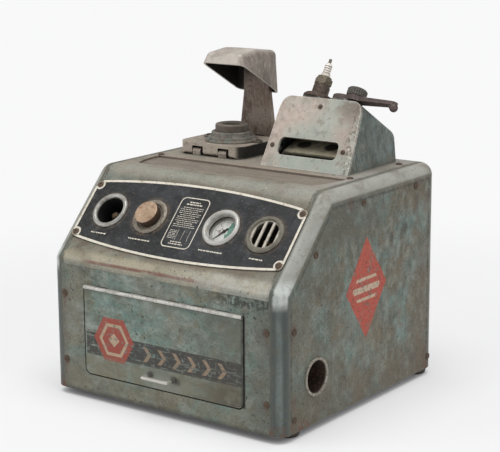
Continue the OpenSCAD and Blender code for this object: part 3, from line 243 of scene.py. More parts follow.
def s_curve(value, low, high, below=0, above=1):
    node = value.tree.nodes.new("ShaderNodeMapRange")
    node.interpolation_type = "SMOOTHSTEP"
    for socket, setting in zip(node.inputs, (value, low, high, below, above)):
        plug_in(value.tree, socket, setting)
    return Wire(value.tree, node.outputs[0])


def ramp(value, low, high):
    """0 below low, 1 above high, and an S-curve between. Low may be the greater of the two."""
    return s_curve(value, high, low, 1, 0) if low > high else s_curve(value, low, high)


def band(value, low, high, soft):
    return ramp(value, low - soft, low + soft) * ramp(value, high + soft, high - soft)


def tint(mask, below, above):
    """Lays colour 'above' over colour 'below' where the mask is 1."""
    tree = mask.tree
    node = tree.nodes.new("ShaderNodeMix")
    node.data_type, node.clamp_factor = "RGBA", True
    plug_in(tree, node.inputs["Factor"], mask)
    for socket, value in ((node.inputs[6], below), (node.inputs[7], above)):
        plug_in(tree, socket, paint_value(value) if isinstance(value, str) else value)
    return Wire(tree, node.outputs[2])


def paint_value(code):
    """A colour written like '#7a8478', turned into the linear light values that shaders use."""
    steps = [int(code[i:i + 2], 16) / 255 for i in (1, 3, 5)]
    return tuple(s / 12.92 if s <= 0.04045 else ((s + 0.055) / 1.055) ** 2.4 for s in steps) + (1,)


def empty_tree(owner):
    owner.use_nodes = True
    owner.node_tree.nodes.clear()
    return owner.node_tree


def mix_shaders(tree, factor, first, second, output):
    """Sends two shaders to a new output node: the first where the factor is 0, the second where it is 1."""
    mix = tree.nodes.new("ShaderNodeMixShader")
    plug_in(tree, mix.inputs[0], factor)
    tree.links.new(first.outputs[0], mix.inputs[1])
    tree.links.new(second.outputs[0], mix.inputs[2])
    tree.links.new(mix.outputs[0], tree.nodes.new(output).inputs[0])


# %% [markdown]
# ## Effects that many finishes share
#
# Blotches, rubbed edges, grime and painted shade in corners, settled dust and single spots turn up on many
# pieces. Each is a node group with named inputs, built once and placed with other values in each material.
# The groups give out masks only; the shader itself stays in the material.

# %% A helper to make and place node groups
def new_group(name, inputs, outputs):
    group = bpy.data.node_groups.new(name, "ShaderNodeTree")
    for label, kind, value in inputs:
        socket = group.interface.new_socket(label, in_out="INPUT", socket_type="NodeSocket" + kind)
        if value is not None:
            socket.default_value = value
    for label, kind in outputs:
        group.interface.new_socket(label, in_out="OUTPUT", socket_type="NodeSocket" + kind)
    entry, leave = group.nodes.new("NodeGroupInput"), group.nodes.new("NodeGroupOutput")
    return group, {label: Wire(group, entry.outputs[label]) for label, _, _ in inputs}, leave


def place(tree, group, output=0, **values):
    node = tree.nodes.new("ShaderNodeGroup")
    node.node_tree = group
    for label, value in values.items():
        plug_in(tree, node.inputs[label.replace("_", " ")], value)
    return Wire(tree, node.outputs[output])


# %% Blotches: cloudy noise with a set coverage
def build_blotches():
    group, wire, leave = new_group("blotches", [
        ("Vector", "Vector", None), ("Size", "Float", 30), ("Stretch", "Vector", (1, 1, 1)),
        ("Coverage", "Float", 0.5), ("Softness", "Float", 0.1), ("Seed", "Float", 0),
        ("Detail", "Float", 4), ("Grain", "Float", 0.55)], [("Mask", "Float"), ("Cloud", "Float")])
    noise = group.nodes.new("ShaderNodeTexNoise")
    noise.noise_dimensions = "4D"
    for label, value in (("Vector", vector_math(group, "DIVIDE", wire["Vector"], wire["Stretch"])),
                         ("W", wire["Seed"]), ("Scale", 1 / wire["Size"]), ("Detail", wire["Detail"]),
                         ("Roughness", wire["Grain"])):
        plug_in(group, noise.inputs[label], value)
    cloud = Wire(group, noise.outputs["Fac"])
    edge = 0.72 - wire["Coverage"] * 0.44
    mask = s_curve(cloud, edge - wire["Softness"], edge + wire["Softness"])
    plug_in(group, leave.inputs["Mask"], mask)
    plug_in(group, leave.inputs["Cloud"], cloud)
    return group


BLOTCHES = build_blotches()
print("made group", BLOTCHES.name)

# %% Rubbed edges: where a rounded normal leaves the true one
def build_rubbed_edges():
    group, wire, leave = new_group("rubbed edges", [
        ("Vector", "Vector", None), ("Reach", "Float", 1.5), ("Strength", "Float", 6),
        ("Breakup", "Float", 0.5), ("Seed", "Float", 0)], [("Mask", "Float")])
    rounded = group.nodes.new("ShaderNodeBevel")
    rounded.samples = 6
    plug_in(group, rounded.inputs["Radius"], wire["Reach"] * MM)
    true = group.nodes.new("ShaderNodeNewGeometry")
    agree = vector_math(group, "DOT_PRODUCT", Wire(group, rounded.outputs[0]),
                        Wire(group, true.outputs["Normal"]))
    turned = (1 - agree) * wire["Strength"]
    patches = place(group, BLOTCHES, Vector=wire["Vector"], Size=5, Coverage=0.55, Softness=0.12,
                    Seed=wire["Seed"])
    kept = 1 - (1 - patches) * wire["Breakup"]
    plug_in(group, leave.inputs["Mask"], limited(turned * kept))
    return group


RUBBED = build_rubbed_edges()
print("made group", RUBBED.name)

# %% Grime and painted shade in corners: dirt that the cloth never reaches, and the shade that falls there
def build_corner_grime_and_shade():
    group, wire, leave = new_group("grime and shade in corners", [
        ("Reach", "Float", 8), ("Strength", "Float", 1.2)], [("Mask", "Float")])
    shade = group.nodes.new("ShaderNodeAmbientOcclusion")
    shade.samples = 6
    shade.only_local = False
    plug_in(group, shade.inputs["Distance"], wire["Reach"] * MM)
    plug_in(group, leave.inputs["Mask"], limited((1 - Wire(group, shade.outputs["AO"])) * wire["Strength"]))
    return group


CORNERS = build_corner_grime_and_shade()
print("made group", CORNERS.name)

# %% Settled dust: whatever lies on faces that look up
def build_dust():
    group, wire, leave = new_group("settled dust", [
        ("Vector", "Vector", None), ("Amount", "Float", 0.5), ("Seed", "Float", 0)], [("Mask", "Float")])
    geometry = group.nodes.new("ShaderNodeNewGeometry")
    split = group.nodes.new("ShaderNodeSeparateXYZ")
    group.links.new(geometry.outputs["Normal"], split.inputs[0])
    up = ramp(Wire(group, split.outputs[2]), 0.25, 0.95)
    patches = place(group, BLOTCHES, Vector=wire["Vector"], Size=22, Coverage=0.6, Softness=0.25,
                    Seed=wire["Seed"])
    plug_in(group, leave.inputs["Mask"], limited(up * (patches * 0.6 + 0.4) * wire["Amount"]))
    return group


DUST = build_dust()
print("made group", DUST.name)

# %% A spot: a soft-edged mask round one point
def build_spot():
    group, wire, leave = new_group("spot", [
        ("Vector", "Vector", None), ("Centre", "Vector", (0, 0, 0)), ("Radius", "Float", 10),
        ("Softness", "Float", 4), ("Stretch", "Vector", (1, 1, 1)), ("Ragged", "Float", 4)],
        [("Mask", "Float")])
    offset = vector_math(group, "SUBTRACT", wire["Vector"], wire["Centre"])
    shaped = vector_math(group, "DIVIDE", offset, wire["Stretch"])
    cloud = place(group, BLOTCHES, output=1, Vector=wire["Vector"], Size=14)
    away = vector_math(group, "LENGTH", shaped) + (cloud - 0.5) * wire["Ragged"] * 2
    mask = s_curve(away, wire["Radius"] - wire["Softness"], wire["Radius"] + wire["Softness"], 1, 0)
    plug_in(group, leave.inputs["Mask"], mask)
    return group


SPOT = build_spot()
print("made group", SPOT.name)

# %% [markdown]
# ## A finish in the making
#
# Finish holds one material while layers are laid on it, in the order in which they came to be on the real
# thing: paint, fading, runs of oil, chips, rubbed edges, dust. It keeps the colour, the roughness, how
# metallic the surface is and the height of its relief, and puts them into one Principled shader at the end.
#
# Most layers are laid by its method cloud. The values are, in this order: the size of the blotches in
# millimetres, how much of the surface they cover, how soft their edges are, how finely they are broken up,
# how thick they lie, their colour and their roughness.

# %% The Finish class
class Finish:
    def __init__(self, name, colour, rough=0.5, metal=0):
        self.material = bpy.data.materials.new(name)
        self.tree = empty_tree(self.material)
        self.here = vector_math(self.tree, "MULTIPLY", self.coordinate("Object"), (1000, 1000, 1000))
        self.colour, self.rough, self.metal = colour, rough, metal
        self.height, self.seed = None, 0
        self._xyz = None

    def coordinate(self, kind):
        return Wire(self.tree, self.tree.nodes.new("ShaderNodeTexCoord").outputs[kind])

    def xyz(self):
        if self._xyz is None:
            split = self.tree.nodes.new("ShaderNodeSeparateXYZ")
            plug_in(self.tree, split.inputs[0], self.here)
            self._xyz = [Wire(self.tree, s) for s in split.outputs]
        return self._xyz

    def on_board(self, matrix):
        """Position as measured on one of the machine's faces: across, up and out, in millimetres."""
        return [vector_math(self.tree, "DOT_PRODUCT", self.here, row[:3]) + row[3] / MM
                for row in matrix.inverted()[:3]]

    def next_seed(self):
        self.seed += 3.7
        return self.seed

    def blotches(self, size, cover=0.5, soft=0.1, detail=4, stretch=(1, 1, 1), grain=0.55, output=0):
        return place(self.tree, BLOTCHES, output=output, Vector=self.here, Size=size, Stretch=stretch,
                     Coverage=cover, Softness=soft, Seed=self.next_seed(), Detail=detail, Grain=grain)

    def spot(self, centre, radius, soft=4, stretch=(1, 1, 1), ragged=4):
        return place(self.tree, SPOT, Vector=self.here, Centre=centre, Radius=radius, Softness=soft,
                     Stretch=stretch, Ragged=ragged)

    def edges(self, reach=1.5, strength=6, breakup=0.5):
        return place(self.tree, RUBBED, Vector=self.here, Reach=reach, Strength=strength, Breakup=breakup,
                     Seed=self.next_seed())

    # Grime and painted shade in corners and hollows, from how closed-in each point is
    def corners(self, reach=8, strength=1.2):
        return place(self.tree, CORNERS, Reach=reach, Strength=strength)

    def facing(self, direction):
        """1 where the piece's own face looks along a direction, 0 where it looks sideways or away."""
        along = Vector(direction).normalized()
        return limited(vector_math(self.tree, "DOT_PRODUCT", self.coordinate("Normal"), along))

    def inner(self, centre):
        """1 on faces that look towards a point in the piece's own hollow, 0 on its outside."""
        way = vector_math(self.tree, "SUBTRACT", centre, self.here)
        return ramp(vector_math(self.tree, "DOT_PRODUCT", way, self.coordinate("Normal")), -1, 3)

    def dust(self, amount=0.5):
        return place(self.tree, DUST, Vector=self.here, Amount=amount, Seed=self.next_seed())

    def stipple(self, pits):
        """A last grain of dark and pale points and a few pits, over whatever lies below."""
        self.cloud(2.3, 0.44, 0.14, 3, 0.2, "#39382f")
        self.cloud(1.9, 0.4, 0.14, 3, 0.13, "#b0b3a9")
        pitted = self.blotches(3.4, pits, 0.02, 3) * self.blotches(55, 0.6, 0.12)
        return self.lay(pitted * 0.85, "#2a2822", rough=0.65)

    def lay(self, mask, colour, rough=None, metal=None):
        self.colour = tint(mask, self.colour, colour)
        for key, value in (("rough", rough), ("metal", metal)):
            if value is not None:
                old = getattr(self, key)
                setattr(self, key, mask * value + (1 - mask) * old)
        return self

    def cloud(self, size, cover, soft, detail, amount, colour, rough=None, metal=None, on=None, floor=0,
              **more):
        """Lays blotches of one colour where the mask 'on' is, over an even layer as thick as 'floor'."""
        mask = self.blotches(size, cover, soft, detail, **more) * amount
        if floor:
            mask = mask + floor
        return self.lay(mask if on is None else on * mask, colour, rough, metal)

    def raise_by(self, amount):
        self.height = amount if self.height is None else self.height + amount
        return self

    def relief(self, size, amount, detail=4):
        """Raises and sinks the surface in soft clouds of one size."""
        return self.raise_by(self.blotches(size, detail=detail, output=1) * amount)

    def done(self, bump=0.4, reach=0.4, **sockets):
        tree = self.tree
        shader = tree.nodes.new("ShaderNodeBsdfPrincipled")
        plug_in(tree, shader.inputs["Base Color"],
                paint_value(self.colour) if isinstance(self.colour, str) else self.colour)
        plug_in(tree, shader.inputs["Roughness"], self.rough)
        plug_in(tree, shader.inputs["Metallic"], self.metal)
        for label, value in sockets.items():
            plug_in(tree, shader.inputs[label.replace("_", " ")], value)
        if self.height is not None:
            relief = tree.nodes.new("ShaderNodeBump")
            relief.inputs["Strength"].default_value = bump
            relief.inputs["Distance"].default_value = reach * MM
            plug_in(tree, relief.inputs["Height"], self.height)
            tree.links.new(relief.outputs[0], shader.inputs["Normal"])
        out = tree.nodes.new("ShaderNodeOutputMaterial")
        tree.links.new(shader.outputs[0], out.inputs[0])
        return self.material


def wear(node_or_piece, material):
    piece = nodes[node_or_piece] if isinstance(node_or_piece, str) else node_or_piece
    piece.data.materials.clear()
    piece.data.materials.append(material)
    return piece


# %% [markdown]
# ## The camera
#
# The photograph was taken from the machine's right front, a little above it, with a long lens from two
# metres. The camera's place was worked out from the cabinet's corners, so the render can be laid over the
# photograph.

# %% Camera
lens_camera = bpy.data.cameras.new("camera")
lens_camera.lens, lens_camera.sensor_width = 113.74, 36
lens_camera.clip_end = 50
camera = bpy.data.objects.new("camera", lens_camera)
right, up, ahead = Vector((0.80646, 0.59126, -0.00608)), Vector((-0.12543, 0.18111, 0.97543)), Vector(
    (-0.57784, 0.78588, -0.22022))
turn = Matrix((right, up, -ahead)).transposed().to_4x4()
camera.matrix_world = Matrix.Translation((1.17357, -1.58833, 0.65345)) @ turn
bpy.context.scene.collection.objects.link(camera)
bpy.context.scene.camera = camera
print("camera stands", round(camera.location.length, 2), "m from the machine's foot")

# %% [markdown]
# ## Paint on the cabinet
#
# The cabinet is pressed steel in an old green-grey paint. Age shows differently on each face: the rolled
# edges are rubbed to a bluish grey and in places to bare metal, the side has dark runs and chips, the lower
# front is browner, and the sloping face and deck carry a skin of tan grime. Light is painted in as well:
# painted highlights along the rolled edges and the crests, and a painted shadow in the door's gap. All of
# these are masks made from the distance to the cabinet's own planes, so they follow its form.

# %% Distances to the cabinet's planes
def cabinet_planes(finish):
    x, y, z = finish.xyz()
    slope_y, slope_z = math.sin(math.radians(BEVEL_ANGLE)), math.cos(math.radians(BEVEL_ANGLE))
    return SimpleNamespace(
        x=x, y=y, z=z, side=HALF_WIDTH - size_of(x), front=y + HALF_DEPTH, top=DECK_HEIGHT - z,
        back=HALF_DEPTH - y, slope=(y + HALF_DEPTH) * slope_y - (z - SLOPE_FOOT) * slope_z)


def crest(first, second, width):
    return ramp(first + second, width + 4, width - 4)


# %% Old paint, as every sheet of the cabinet has it
def old_paint(name, paint, green, brown, dark, pale, cover_brown=0.5, grain_way=(1, 1, 2), chips=0.1,
              rough=0.5):
    """Paint with greener and browner fields, streaks along grain_way and a few chips."""
    f = Finish(name, paint, rough)
    f.cloud(80, 0.52, 0.08, 7, 0.95, green, grain=0.6)
    f.cloud(46, cover_brown, 0.08, 8, 0.95, brown, 0.6, grain=0.64)
    f.cloud(24, 0.42, 0.1, 8, 0.6, dark, 0.58, grain=0.66)
    f.cloud(12, 0.42, 0.1, 7, 0.5, pale, 0.45, stretch=grain_way, grain=0.66)
    f.cloud(7, 0.4, 0.1, 7, 0.45, dark, stretch=grain_way, grain=0.66)
    f.cloud(13, 0.34, 0.06, 9, 0.6, brown, 0.6, grain=0.74)
    f.cloud(7.5, chips * 0.6, 0.03, 6, 0.75, "#6b4636", 0.65)
    return f.relief(1.2, 0.3).relief(16, 0.9)


# %% The rolled edges, rubbed smooth by hands and sleeves, with painted highlights
def lay_rolled_edge(f, d):
    """Rubbed almost bare, with painted highlights, in the middle of the round; browner flanks; darker front
    corner.
    """
    round_off = d.side + smaller(smaller(d.front, d.top), smaller(d.slope, d.back))
    edge, middle = ramp(round_off, 20, 12), ramp(round_off, 15.2, 12.2)
    crease = band(round_off, 18, 21.5, 1.5)
    high, ahead = ramp(d.z, 250, 278), ramp(d.y, -60, -120)
    low = ramp(d.z, 205, 165) * ahead + ramp(d.z, 190, 20) * (1 - ahead) * 0.5
    f.cloud(24, 0.5, 0.12, 8, 0.4, "#77776c", 0.5, on=edge, floor=0.2)
    # pale middle of the round, paler near the top: rubbed paint and a painted highlight
    f.cloud(34, 0.6, 0.2, 6, 0.45, "#b4b5ae", 0.36, on=middle, floor=0.45, stretch=(1, 2, 2))
    f.lay(middle * high * 0.3, "#a9a89f", rough=0.42)
    f.cloud(22, 0.4, 0.08, 8, 0.55, "#766c5c", 0.55, on=edge, stretch=(1, 1.6, 1.6), grain=0.66)
    f.lay(edge * low * 0.94, "#384240", rough=0.42)
    # a lighter streak down the front corner's round: a painted highlight
    highlight_streak = ramp(size_of(d.side - d.front - 2), 9, 2)
    f.cloud(22, 0.5, 0.14, 8, 0.6, "#75827e", 0.36, on=edge * low * highlight_streak, floor=0.15, stretch=(1, 1, 3))
    f.cloud(11, 0.4, 0.08, 9, 0.6, "#57574b", 0.55, on=edge * low, grain=0.72)
    # a bright patch where the front corner bends into the slope: a painted highlight
    shoulder_highlight = band(d.z, 166, 192, 8) * middle * ahead
    f.cloud(12, 0.6, 0.12, 8, 0.5, "#ccd0cb", 0.26, on=shoulder_highlight, floor=0.5)
    f.cloud(2.4, 0.2, 0.04, 4, 0.5, "#3a3b36", 0.6, on=edge)
    f.cloud(6, 0.5, 0.1, 6, 0.5, "#34342e", 0.6, on=crease, floor=0.2)
    return f


# %% Finish of the side panels, with a worn painted badge on the right one
def lozenge(u, v, centre_u, centre_v, half_w, half_h):
    """1 inside a diamond shape."""
    return ramp(size_of(u - centre_u) / half_w + size_of(v - centre_v) / half_h, 1.02, 0.98)


def side_finish():
    f = old_paint("side paint", "#73796e", "#60807a", "#70624c", "#3f4036", "#9aa49a", 0.48, (1, 1, 1.5),
                  0.14)
    d = cabinet_planes(f)
    f.cloud(30, 0.42, 0.08, 9, 0.6, "#7a6f5c", 0.6, on=ramp(d.z, 210, 60), stretch=(1, 1, 1.6), grain=0.7)
    f.cloud(24, 0.55, 0.12, 8, 0.5, "#6b5c50", 0.6, on=ramp(d.y, 90, 165), stretch=(1, 1, 2))
    f.cloud(26, 0.6, 0.16, 8, 0.6, "#5f5649", 0.6, on=ramp(d.z, 80, 20))
    f.cloud(30, 0.6, 0.12, 9, 0.6, "#504e42", on=ramp(d.z, 190, 240) * ramp(d.y, 120, -20), floor=0.32)
    f.cloud(34, 0.56, 0.1, 9, 0.6, "#545344", on=ramp(d.y, -20, -120), floor=0.08, grain=0.7)
    drips = f.blotches(4, 0.3, 0.05, 4, stretch=(1, 1, 9)) * f.blotches(40, 0.42, 0.08)
    f.lay(drips * 0.4, "#45453c", rough=0.55)
    for y, z, size in ((96, 211, 6), (64, 205, 5), (8, 190, 4)):
        f.lay(f.spot((HALF_WIDTH, y, z), size, size * 0.5, (9, 1, 1.2), 6) * 0.75, "#38322c", rough=0.6)
    for y, z in ((-150, 47), (-150, 134), (150, 30), (150, 240), (-30, 262)):
        f.lay(f.spot((HALF_WIDTH, y, z), 6, 4, (9, 1, 1.4), 5) * 0.6, "#5d4336", rough=0.65)
    u, v, _ = f.on_board(RIGHT_SIDE)
    worn = 1 - f.blotches(9, 0.28, 0.03, 9, grain=0.7)
    thin = 1 - f.blotches(30, 0.3, 0.08, 8)
    right = ramp(d.x, 100, 120)
    badge = lozenge(u, v, 6, 152, 46, 64) * right
    f.lay(badge * (worn * thin * 0.88 + 0.1), "#b8442d", rough=0.55)
    bars = band(v, 147, 155, 0.6) + band(v, 162, 166, 0.6) + band(v, 136.5, 140.5, 0.6)
    inside = lozenge(u, v, 6, 152, 31, 45) * right
    f.lay(inside * limited(bars) * worn * 0.85, "#c8b89e", rough=0.5)
    f.cloud(3, 0.3, 0.03, 4, 0.6, "#4d3a30", 0.6, on=badge)
    f.stipple(0.15)
    lay_rolled_edge(f, d)
    f.lay(f.edges(1.6, 7, 0.8) * 0.6, "#a5a59b", rough=0.4)
    rust = ramp(d.z, 30, 10) * ramp(size_of(d.y - 10), 110, 150)
    f.cloud(11, 0.5, 0.08, 8, 0.85, "#69422f", 0.65, on=rust)
    # grime and painted shade in the corners
    f.lay(f.corners(7, 1) * 0.7, "#2e2922", rough=0.7)
    return f.done(bump=0.3, reach=0.25)


# %% Finish of the front and back panels
FRONT_SCREWS = [(x, z) for x in (156.6, -156.6) for z in (134, 47)]


def front_layers(f):
    """Marks of the front sheet; those by the door and plate stay off the back panel."""
    d = cabinet_planes(f)
    ahead = ramp(d.y, -120, -150)
    f.cloud(24, 0.55, 0.2, 4, 0.7, "#77725f", 0.62, on=ramp(d.z, 75, 20))
    f.cloud(24, 0.6, 0.2, 6, 0.5, "#565a50", on=ramp(d.x, 118, 150), floor=0.35)
    f.cloud(24, 0.65, 0.2, 6, 0.6, "#77705f", on=ramp(d.x, -118, -140))
    f.cloud(9, 0.6, 0.2, 6, 0.6, "#514e43", 0.6, on=ramp(d.x, -146, -164), stretch=(1, 1, 4))
    under = band(d.z, 158, 174, 4) * ramp(d.x, 60, 112) * ahead
    under = under * f.blotches(5, 0.55, 0.05, 8)
    f.lay(under * 0.85, "#252924", rough=0.6)
    f.cloud(10, 0.5, 0.1, 8, 0.5, "#4b463b", on=band(size_of(d.x), 118, 130, 5) * ramp(d.z, 30, 60) * ahead)
    for x, z in FRONT_SCREWS:
        halo = f.spot((x, -HALF_DEPTH, z - 1), 4.5, 3, (1, 8, 1.2), 4)
        run = f.spot((x, -HALF_DEPTH, z - 11), 1.6, 1.6, (1, 8, 4), 2) * 0.5
        f.lay(limited(halo + run) * 0.75, "#6a4534", rough=0.65)
    # a near-black strip beside the door's right edge: the painted shadow in the door's gap
    door_gap_shadow = ramp(d.x, 122.4, 123.2) * ramp(d.x, 127, 125.6) * band(d.z, 36, 148, 1)
    f.lay(door_gap_shadow * ahead * 0.92, "#12110f", rough=0.7)
    f.lay(ramp(d.z, 16, 9) * 0.6, "#26231d", rough=0.7)
    f.stipple(0.2)
    f.cloud(8, 0.6, 0.1, 6, 0.4, "#262722", 0.6, on=ramp(size_of(d.x), 160, 163.5), floor=0.4)
    # grime and painted shade in the corners
    f.lay(f.corners(6, 1.1) * 0.8, "#211d18", rough=0.7)
    return f


def front_finish():
    f = old_paint("front paint", "#828a80", "#69867d", "#7d735c", "#45483c", "#a9b0a6", 0.42, (1.8, 1, 1.2),
                  0.14)
    return front_layers(f).done(bump=0.3, reach=0.25)


# %% [markdown]
# ### The door's painted trim
#
# The door carries a dark band with a row of chevrons, and a red badge at its left end: a hexagon with a
# ring and a diamond in it. They are drawn from distances, so their outlines stay sharp, and two wear masks
# rub them away.

# %% Finish of the door
def hexagon(u, v, centre_u, centre_v, reach):
    du, dv = size_of(u - centre_u), size_of(v - centre_v)
    return ramp(larger(dv, du * 0.866 + dv * 0.5) / reach, 1.02, 0.98)


def door_finish():
    f = old_paint("door paint", "#869086", "#6a8a81", "#7a725a", "#494d41", "#a8b1a7", 0.34, (1.8, 1, 1),
                  0.12)
    u, v, _ = f.on_board(FRONT)
    f.stipple(0.2)
    f.cloud(24, 0.6, 0.12, 9, 0.6, "#5f5e51", on=ramp(u, 40, 105), floor=0.2)
    f.cloud(14, 0.5, 0.2, 6, 0.5, "#5f6053", 0.6, on=ramp(v, 128, 146))
    worn = 1 - f.blotches(5, 0.34, 0.03, 9, grain=0.74)
    scratched = 1 - f.blotches(3, 0.26, 0.05, 5, stretch=(9, 1, 1))
    strip = band(v, 61, 90, 0.5) * band(size_of(u), -1, 121, 0.4)
    f.lay(strip * (worn * scratched * 0.8 + 0.16), "#3a3733", rough=0.5)
    badge = hexagon(u, v, -76, 85, 28)
    f.lay(badge * (worn * 0.86 + 0.12), "#9c4636", rough=0.5)
    ring = hexagon(u, v, -76, 85, 20.5) - hexagon(u, v, -76, 85, 16.5)
    heart = lozenge(u, v, -76, 85, 9, 9)
    f.lay(limited(ring + heart) * worn * 0.85, "#b9a98d", rough=0.5)
    for step in range(6):
        middle = -22 + step * 23
        along = (u - middle) + size_of(v - 75.5) * 0.8
        chevron = band(along, 0, 6, 0.5) * ramp(size_of(v - 75.5), 10, 9.2)
        f.lay(chevron * worn * scratched * 0.75, "#a58d73", rough=0.5)
    f.cloud(20, 0.6, 0.2, 6, 0.5, "#79735f", 0.6, on=ramp(v, 66, 52), floor=0.35)
    f.cloud(12, 0.6, 0.1, 8, 0.5, "#544f42", 0.6, on=ramp(u, 30, 110) * ramp(v, 66, 52), floor=0.4)
    f.cloud(1.6, 0.16, 0.03, 4, 0.3, "#a3a498", 0.4, stretch=(8, 1, 1))
    f.lay(f.spot((4, -176, 44), 20, 11, (1.5, 4, 0.7), 7) * 0.6, "#8f958c", rough=0.4)
    f.lay(f.spot((24, -176, 50), 6, 4, (1, 4, 0.7), 5) * 0.7, "#3a352c", rough=0.6)
    # a darker strip down the door's right edge: painted shade beside the gap
    f.cloud(7, 0.6, 0.12, 7, 0.5, "#2a2822", 0.6, on=ramp(u, 118, 122.4), floor=0.4)
    # grime and painted shade in the corners
    f.lay(f.corners(5, 1) * 0.7, "#211e19", rough=0.7)
    return f.done(bump=0.3, reach=0.2)


# %% Finish of the sloping face and deck
def wrap_finish():
    f = old_paint("slope and deck paint", "#777a6e", "#697c74", "#7b6c56", "#48453a", "#9a9e92", 0.5,
                  (1.6, 1, 1), 0.14)
    d = cabinet_planes(f)
    on_slope = ramp(d.top, 2, 9)
    f.cloud(26, 0.6, 0.1, 9, 0.55, "#7d7260", 0.55, on=on_slope * ramp(d.x, -20, 130), floor=0.1, grain=0.7)
    deck = ramp(d.top, 14, 4)
    f.cloud(44, 0.7, 0.2, 6, 0.8, "#9c9184", 0.64, on=deck)
    f.cloud(30, 0.7, 0.2, 6, 0.7, "#a3a099", 0.5, on=deck * ramp(d.x, 90, 150))
    tray = ramp(d.top, 1.4, 2.2) * ramp(d.top, 4.5, 3.5) * band(d.y, -51, 6.5, 0.6)
    tray = tray * ramp(size_of(d.x), 148, 147)
    f.lay(tray * 0.95, "#7c7065", rough=0.7)
    f.cloud(20, 0.5, 0.16, 7, 0.75, "#8e8376", 0.68, on=tray, stretch=(3, 1, 1))
    f.cloud(5, 0.4, 0.12, 6, 0.4, "#5c5046", 0.68, on=tray, stretch=(4, 1, 1))
    f.lay(tray * ramp(d.y, -40, -50) * 0.55, "#4a3f36", rough=0.7)
    lip = band(d.y, 6, 15, 2.5) * ramp(d.top, 5, 2) * ramp(size_of(d.x), 152, 149)
    f.cloud(9, 0.6, 0.14, 7, 0.6, "#a08a7a", 0.55, on=lip, stretch=(4, 1, 1))
    upper, lower = crest(d.slope, d.top, 8), crest(d.slope, d.front, 9)
    # pale along the upper crest, paler along the lower one: painted highlights, the lower one also glossier
    f.cloud(24, 0.6, 0.1, 8, 0.5, "#979c91", 0.42, on=upper)
    f.cloud(20, 0.6, 0.12, 9, 0.5, "#b2a890", 0.36, on=lower, floor=0.42, stretch=(2, 1, 1))
    line = band(d.slope - d.front, -0.8, 2.2, 0.8) * ramp(d.x, 100, 62)
    line = line * ramp(d.x, -132, -108)
    f.cloud(12, 0.66, 0.06, 7, 0.85, "#79463a", 0.6, on=line * lower, floor=0.05, stretch=(4, 1, 1))
    # brightest on the right of the lower crest: rubbed paint and a painted highlight
    bare = ramp(d.slope + d.front, 13, 6.5) * ramp(d.x, 0, 90)
    f.cloud(14, 0.56, 0.1, 9, 0.6, "#bebdb3", 0.28, on=bare, floor=0.2, grain=0.72)
    f.cloud(14, 0.6, 0.2, 4, 0.6, "#6f7a73", on=ramp(d.front, 6, 1) * ramp(d.z, 181, 174))
    f.cloud(26, 0.4, 0.1, 8, 0.4, "#9c9b8e", 0.45, on=ramp(d.slope, 4, 1))
    f.stipple(0.16)
    u, v, _ = f.on_board(CONTROL_FACE)
    rim = 55.5 - 0.00047 * u * u
    near_plate = ramp(size_of(v - PLATE_V) - rim, 9, 0) * ramp(size_of(u), 172, 165)
    f.cloud(12, 0.5, 0.16, 7, 0.6, "#76695a", 0.62, on=near_plate, stretch=(3, 1, 1))
    lay_rolled_edge(f, d)
    # grime and painted shade in the corners
    f.lay(f.corners(8, 1.2) * 0.7, "#3a3128", rough=0.7)
    return f.done(bump=0.3, reach=0.25)


SIDE_PAINT, FRONT_PAINT = side_finish(), front_finish()
DOOR_PAINT, WRAP_PAINT = door_finish(), wrap_finish()
print("cabinet paints:", SIDE_PAINT.name, "/", FRONT_PAINT.name, "/", DOOR_PAINT.name, "/", WRAP_PAINT.name)

# %% Dress the cabinet's large sheets
for node, material in (("left_side", SIDE_PAINT), ("right_side", SIDE_PAINT), ("top_wrap", WRAP_PAINT)):
    piece = smooth(wear(node, material), 35)
    evened = piece.modifiers.new("even shading", "WEIGHTED_NORMAL")
    evened.keep_sharp = True
print("cabinet sheets dressed")

# %% [markdown]
# ## Finishes of the castings
#
# The cleaner head, its hood and the test head are sand castings. They have a coarse skin, remains of paint
# on top of it and years of grit and oil. Where hands and plugs have rubbed, the metal shines through. Sides
# and hollows that lie in shade are painted darker, as painted shade.

# %% Finish of the hood and its arm
def cast_skin(f, grain=1.6, waves=9):
    return f.relief(grain, 0.7, detail=5).relief(waves, 0.8)


def hood_finish():
    f = cast_skin(Finish("hood casting", "#b8aea4", 0.42, 0.12))
    f.cloud(30, 0.5, 0.16, 7, 1, "#ccc5bc")
    f.cloud(20, 0.5, 0.1, 8, 0.6, "#c4b6ab", on=f.facing((-0.2, -1, 0.1)), stretch=(1, 1, 2))
    # the faces that look to the right are darker: painted shade
    f.lay(f.facing((1, 0.1, -0.1)) * 0.85, "#74695f", rough=0.5)
    f.cloud(9, 0.5, 0.1, 7, 0.55, "#a0948a", 0.42, on=f.facing((1, 0, 0)), stretch=(1, 1, 5))
    f.cloud(12, 0.4, 0.08, 7, 0.6, "#5a4d45", 0.5, on=f.facing((1, 0, 0)), stretch=(1, 1, 4))
    f.cloud(16, 0.5, 0.14, 7, 0.5, "#9c948a", on=f.facing((0, 0.3, 1)))
    f.cloud(12, 0.3, 0.08, 8, 0.5, "#7f746a", 0.5)
    f.cloud(3, 0.2, 0.04, 6, 0.4, "#665a50", 0.6)
    f.lay(f.edges(2.4, 5, 0.5) * 0.8, "#cbc5ba", rough=0.38)
    f.cloud(1.6, 0.26, 0.03, 3, 0.4, "#cdc7bb", 0.4, stretch=(1, 1, 9))
    # the inside of the hood near black: painted shade
    f.lay(f.inner((-84.5, 110, 398)) * 0.97, "#0e0c0b", rough=0.8, metal=0)
    return f.done(bump=0.35, reach=0.25)


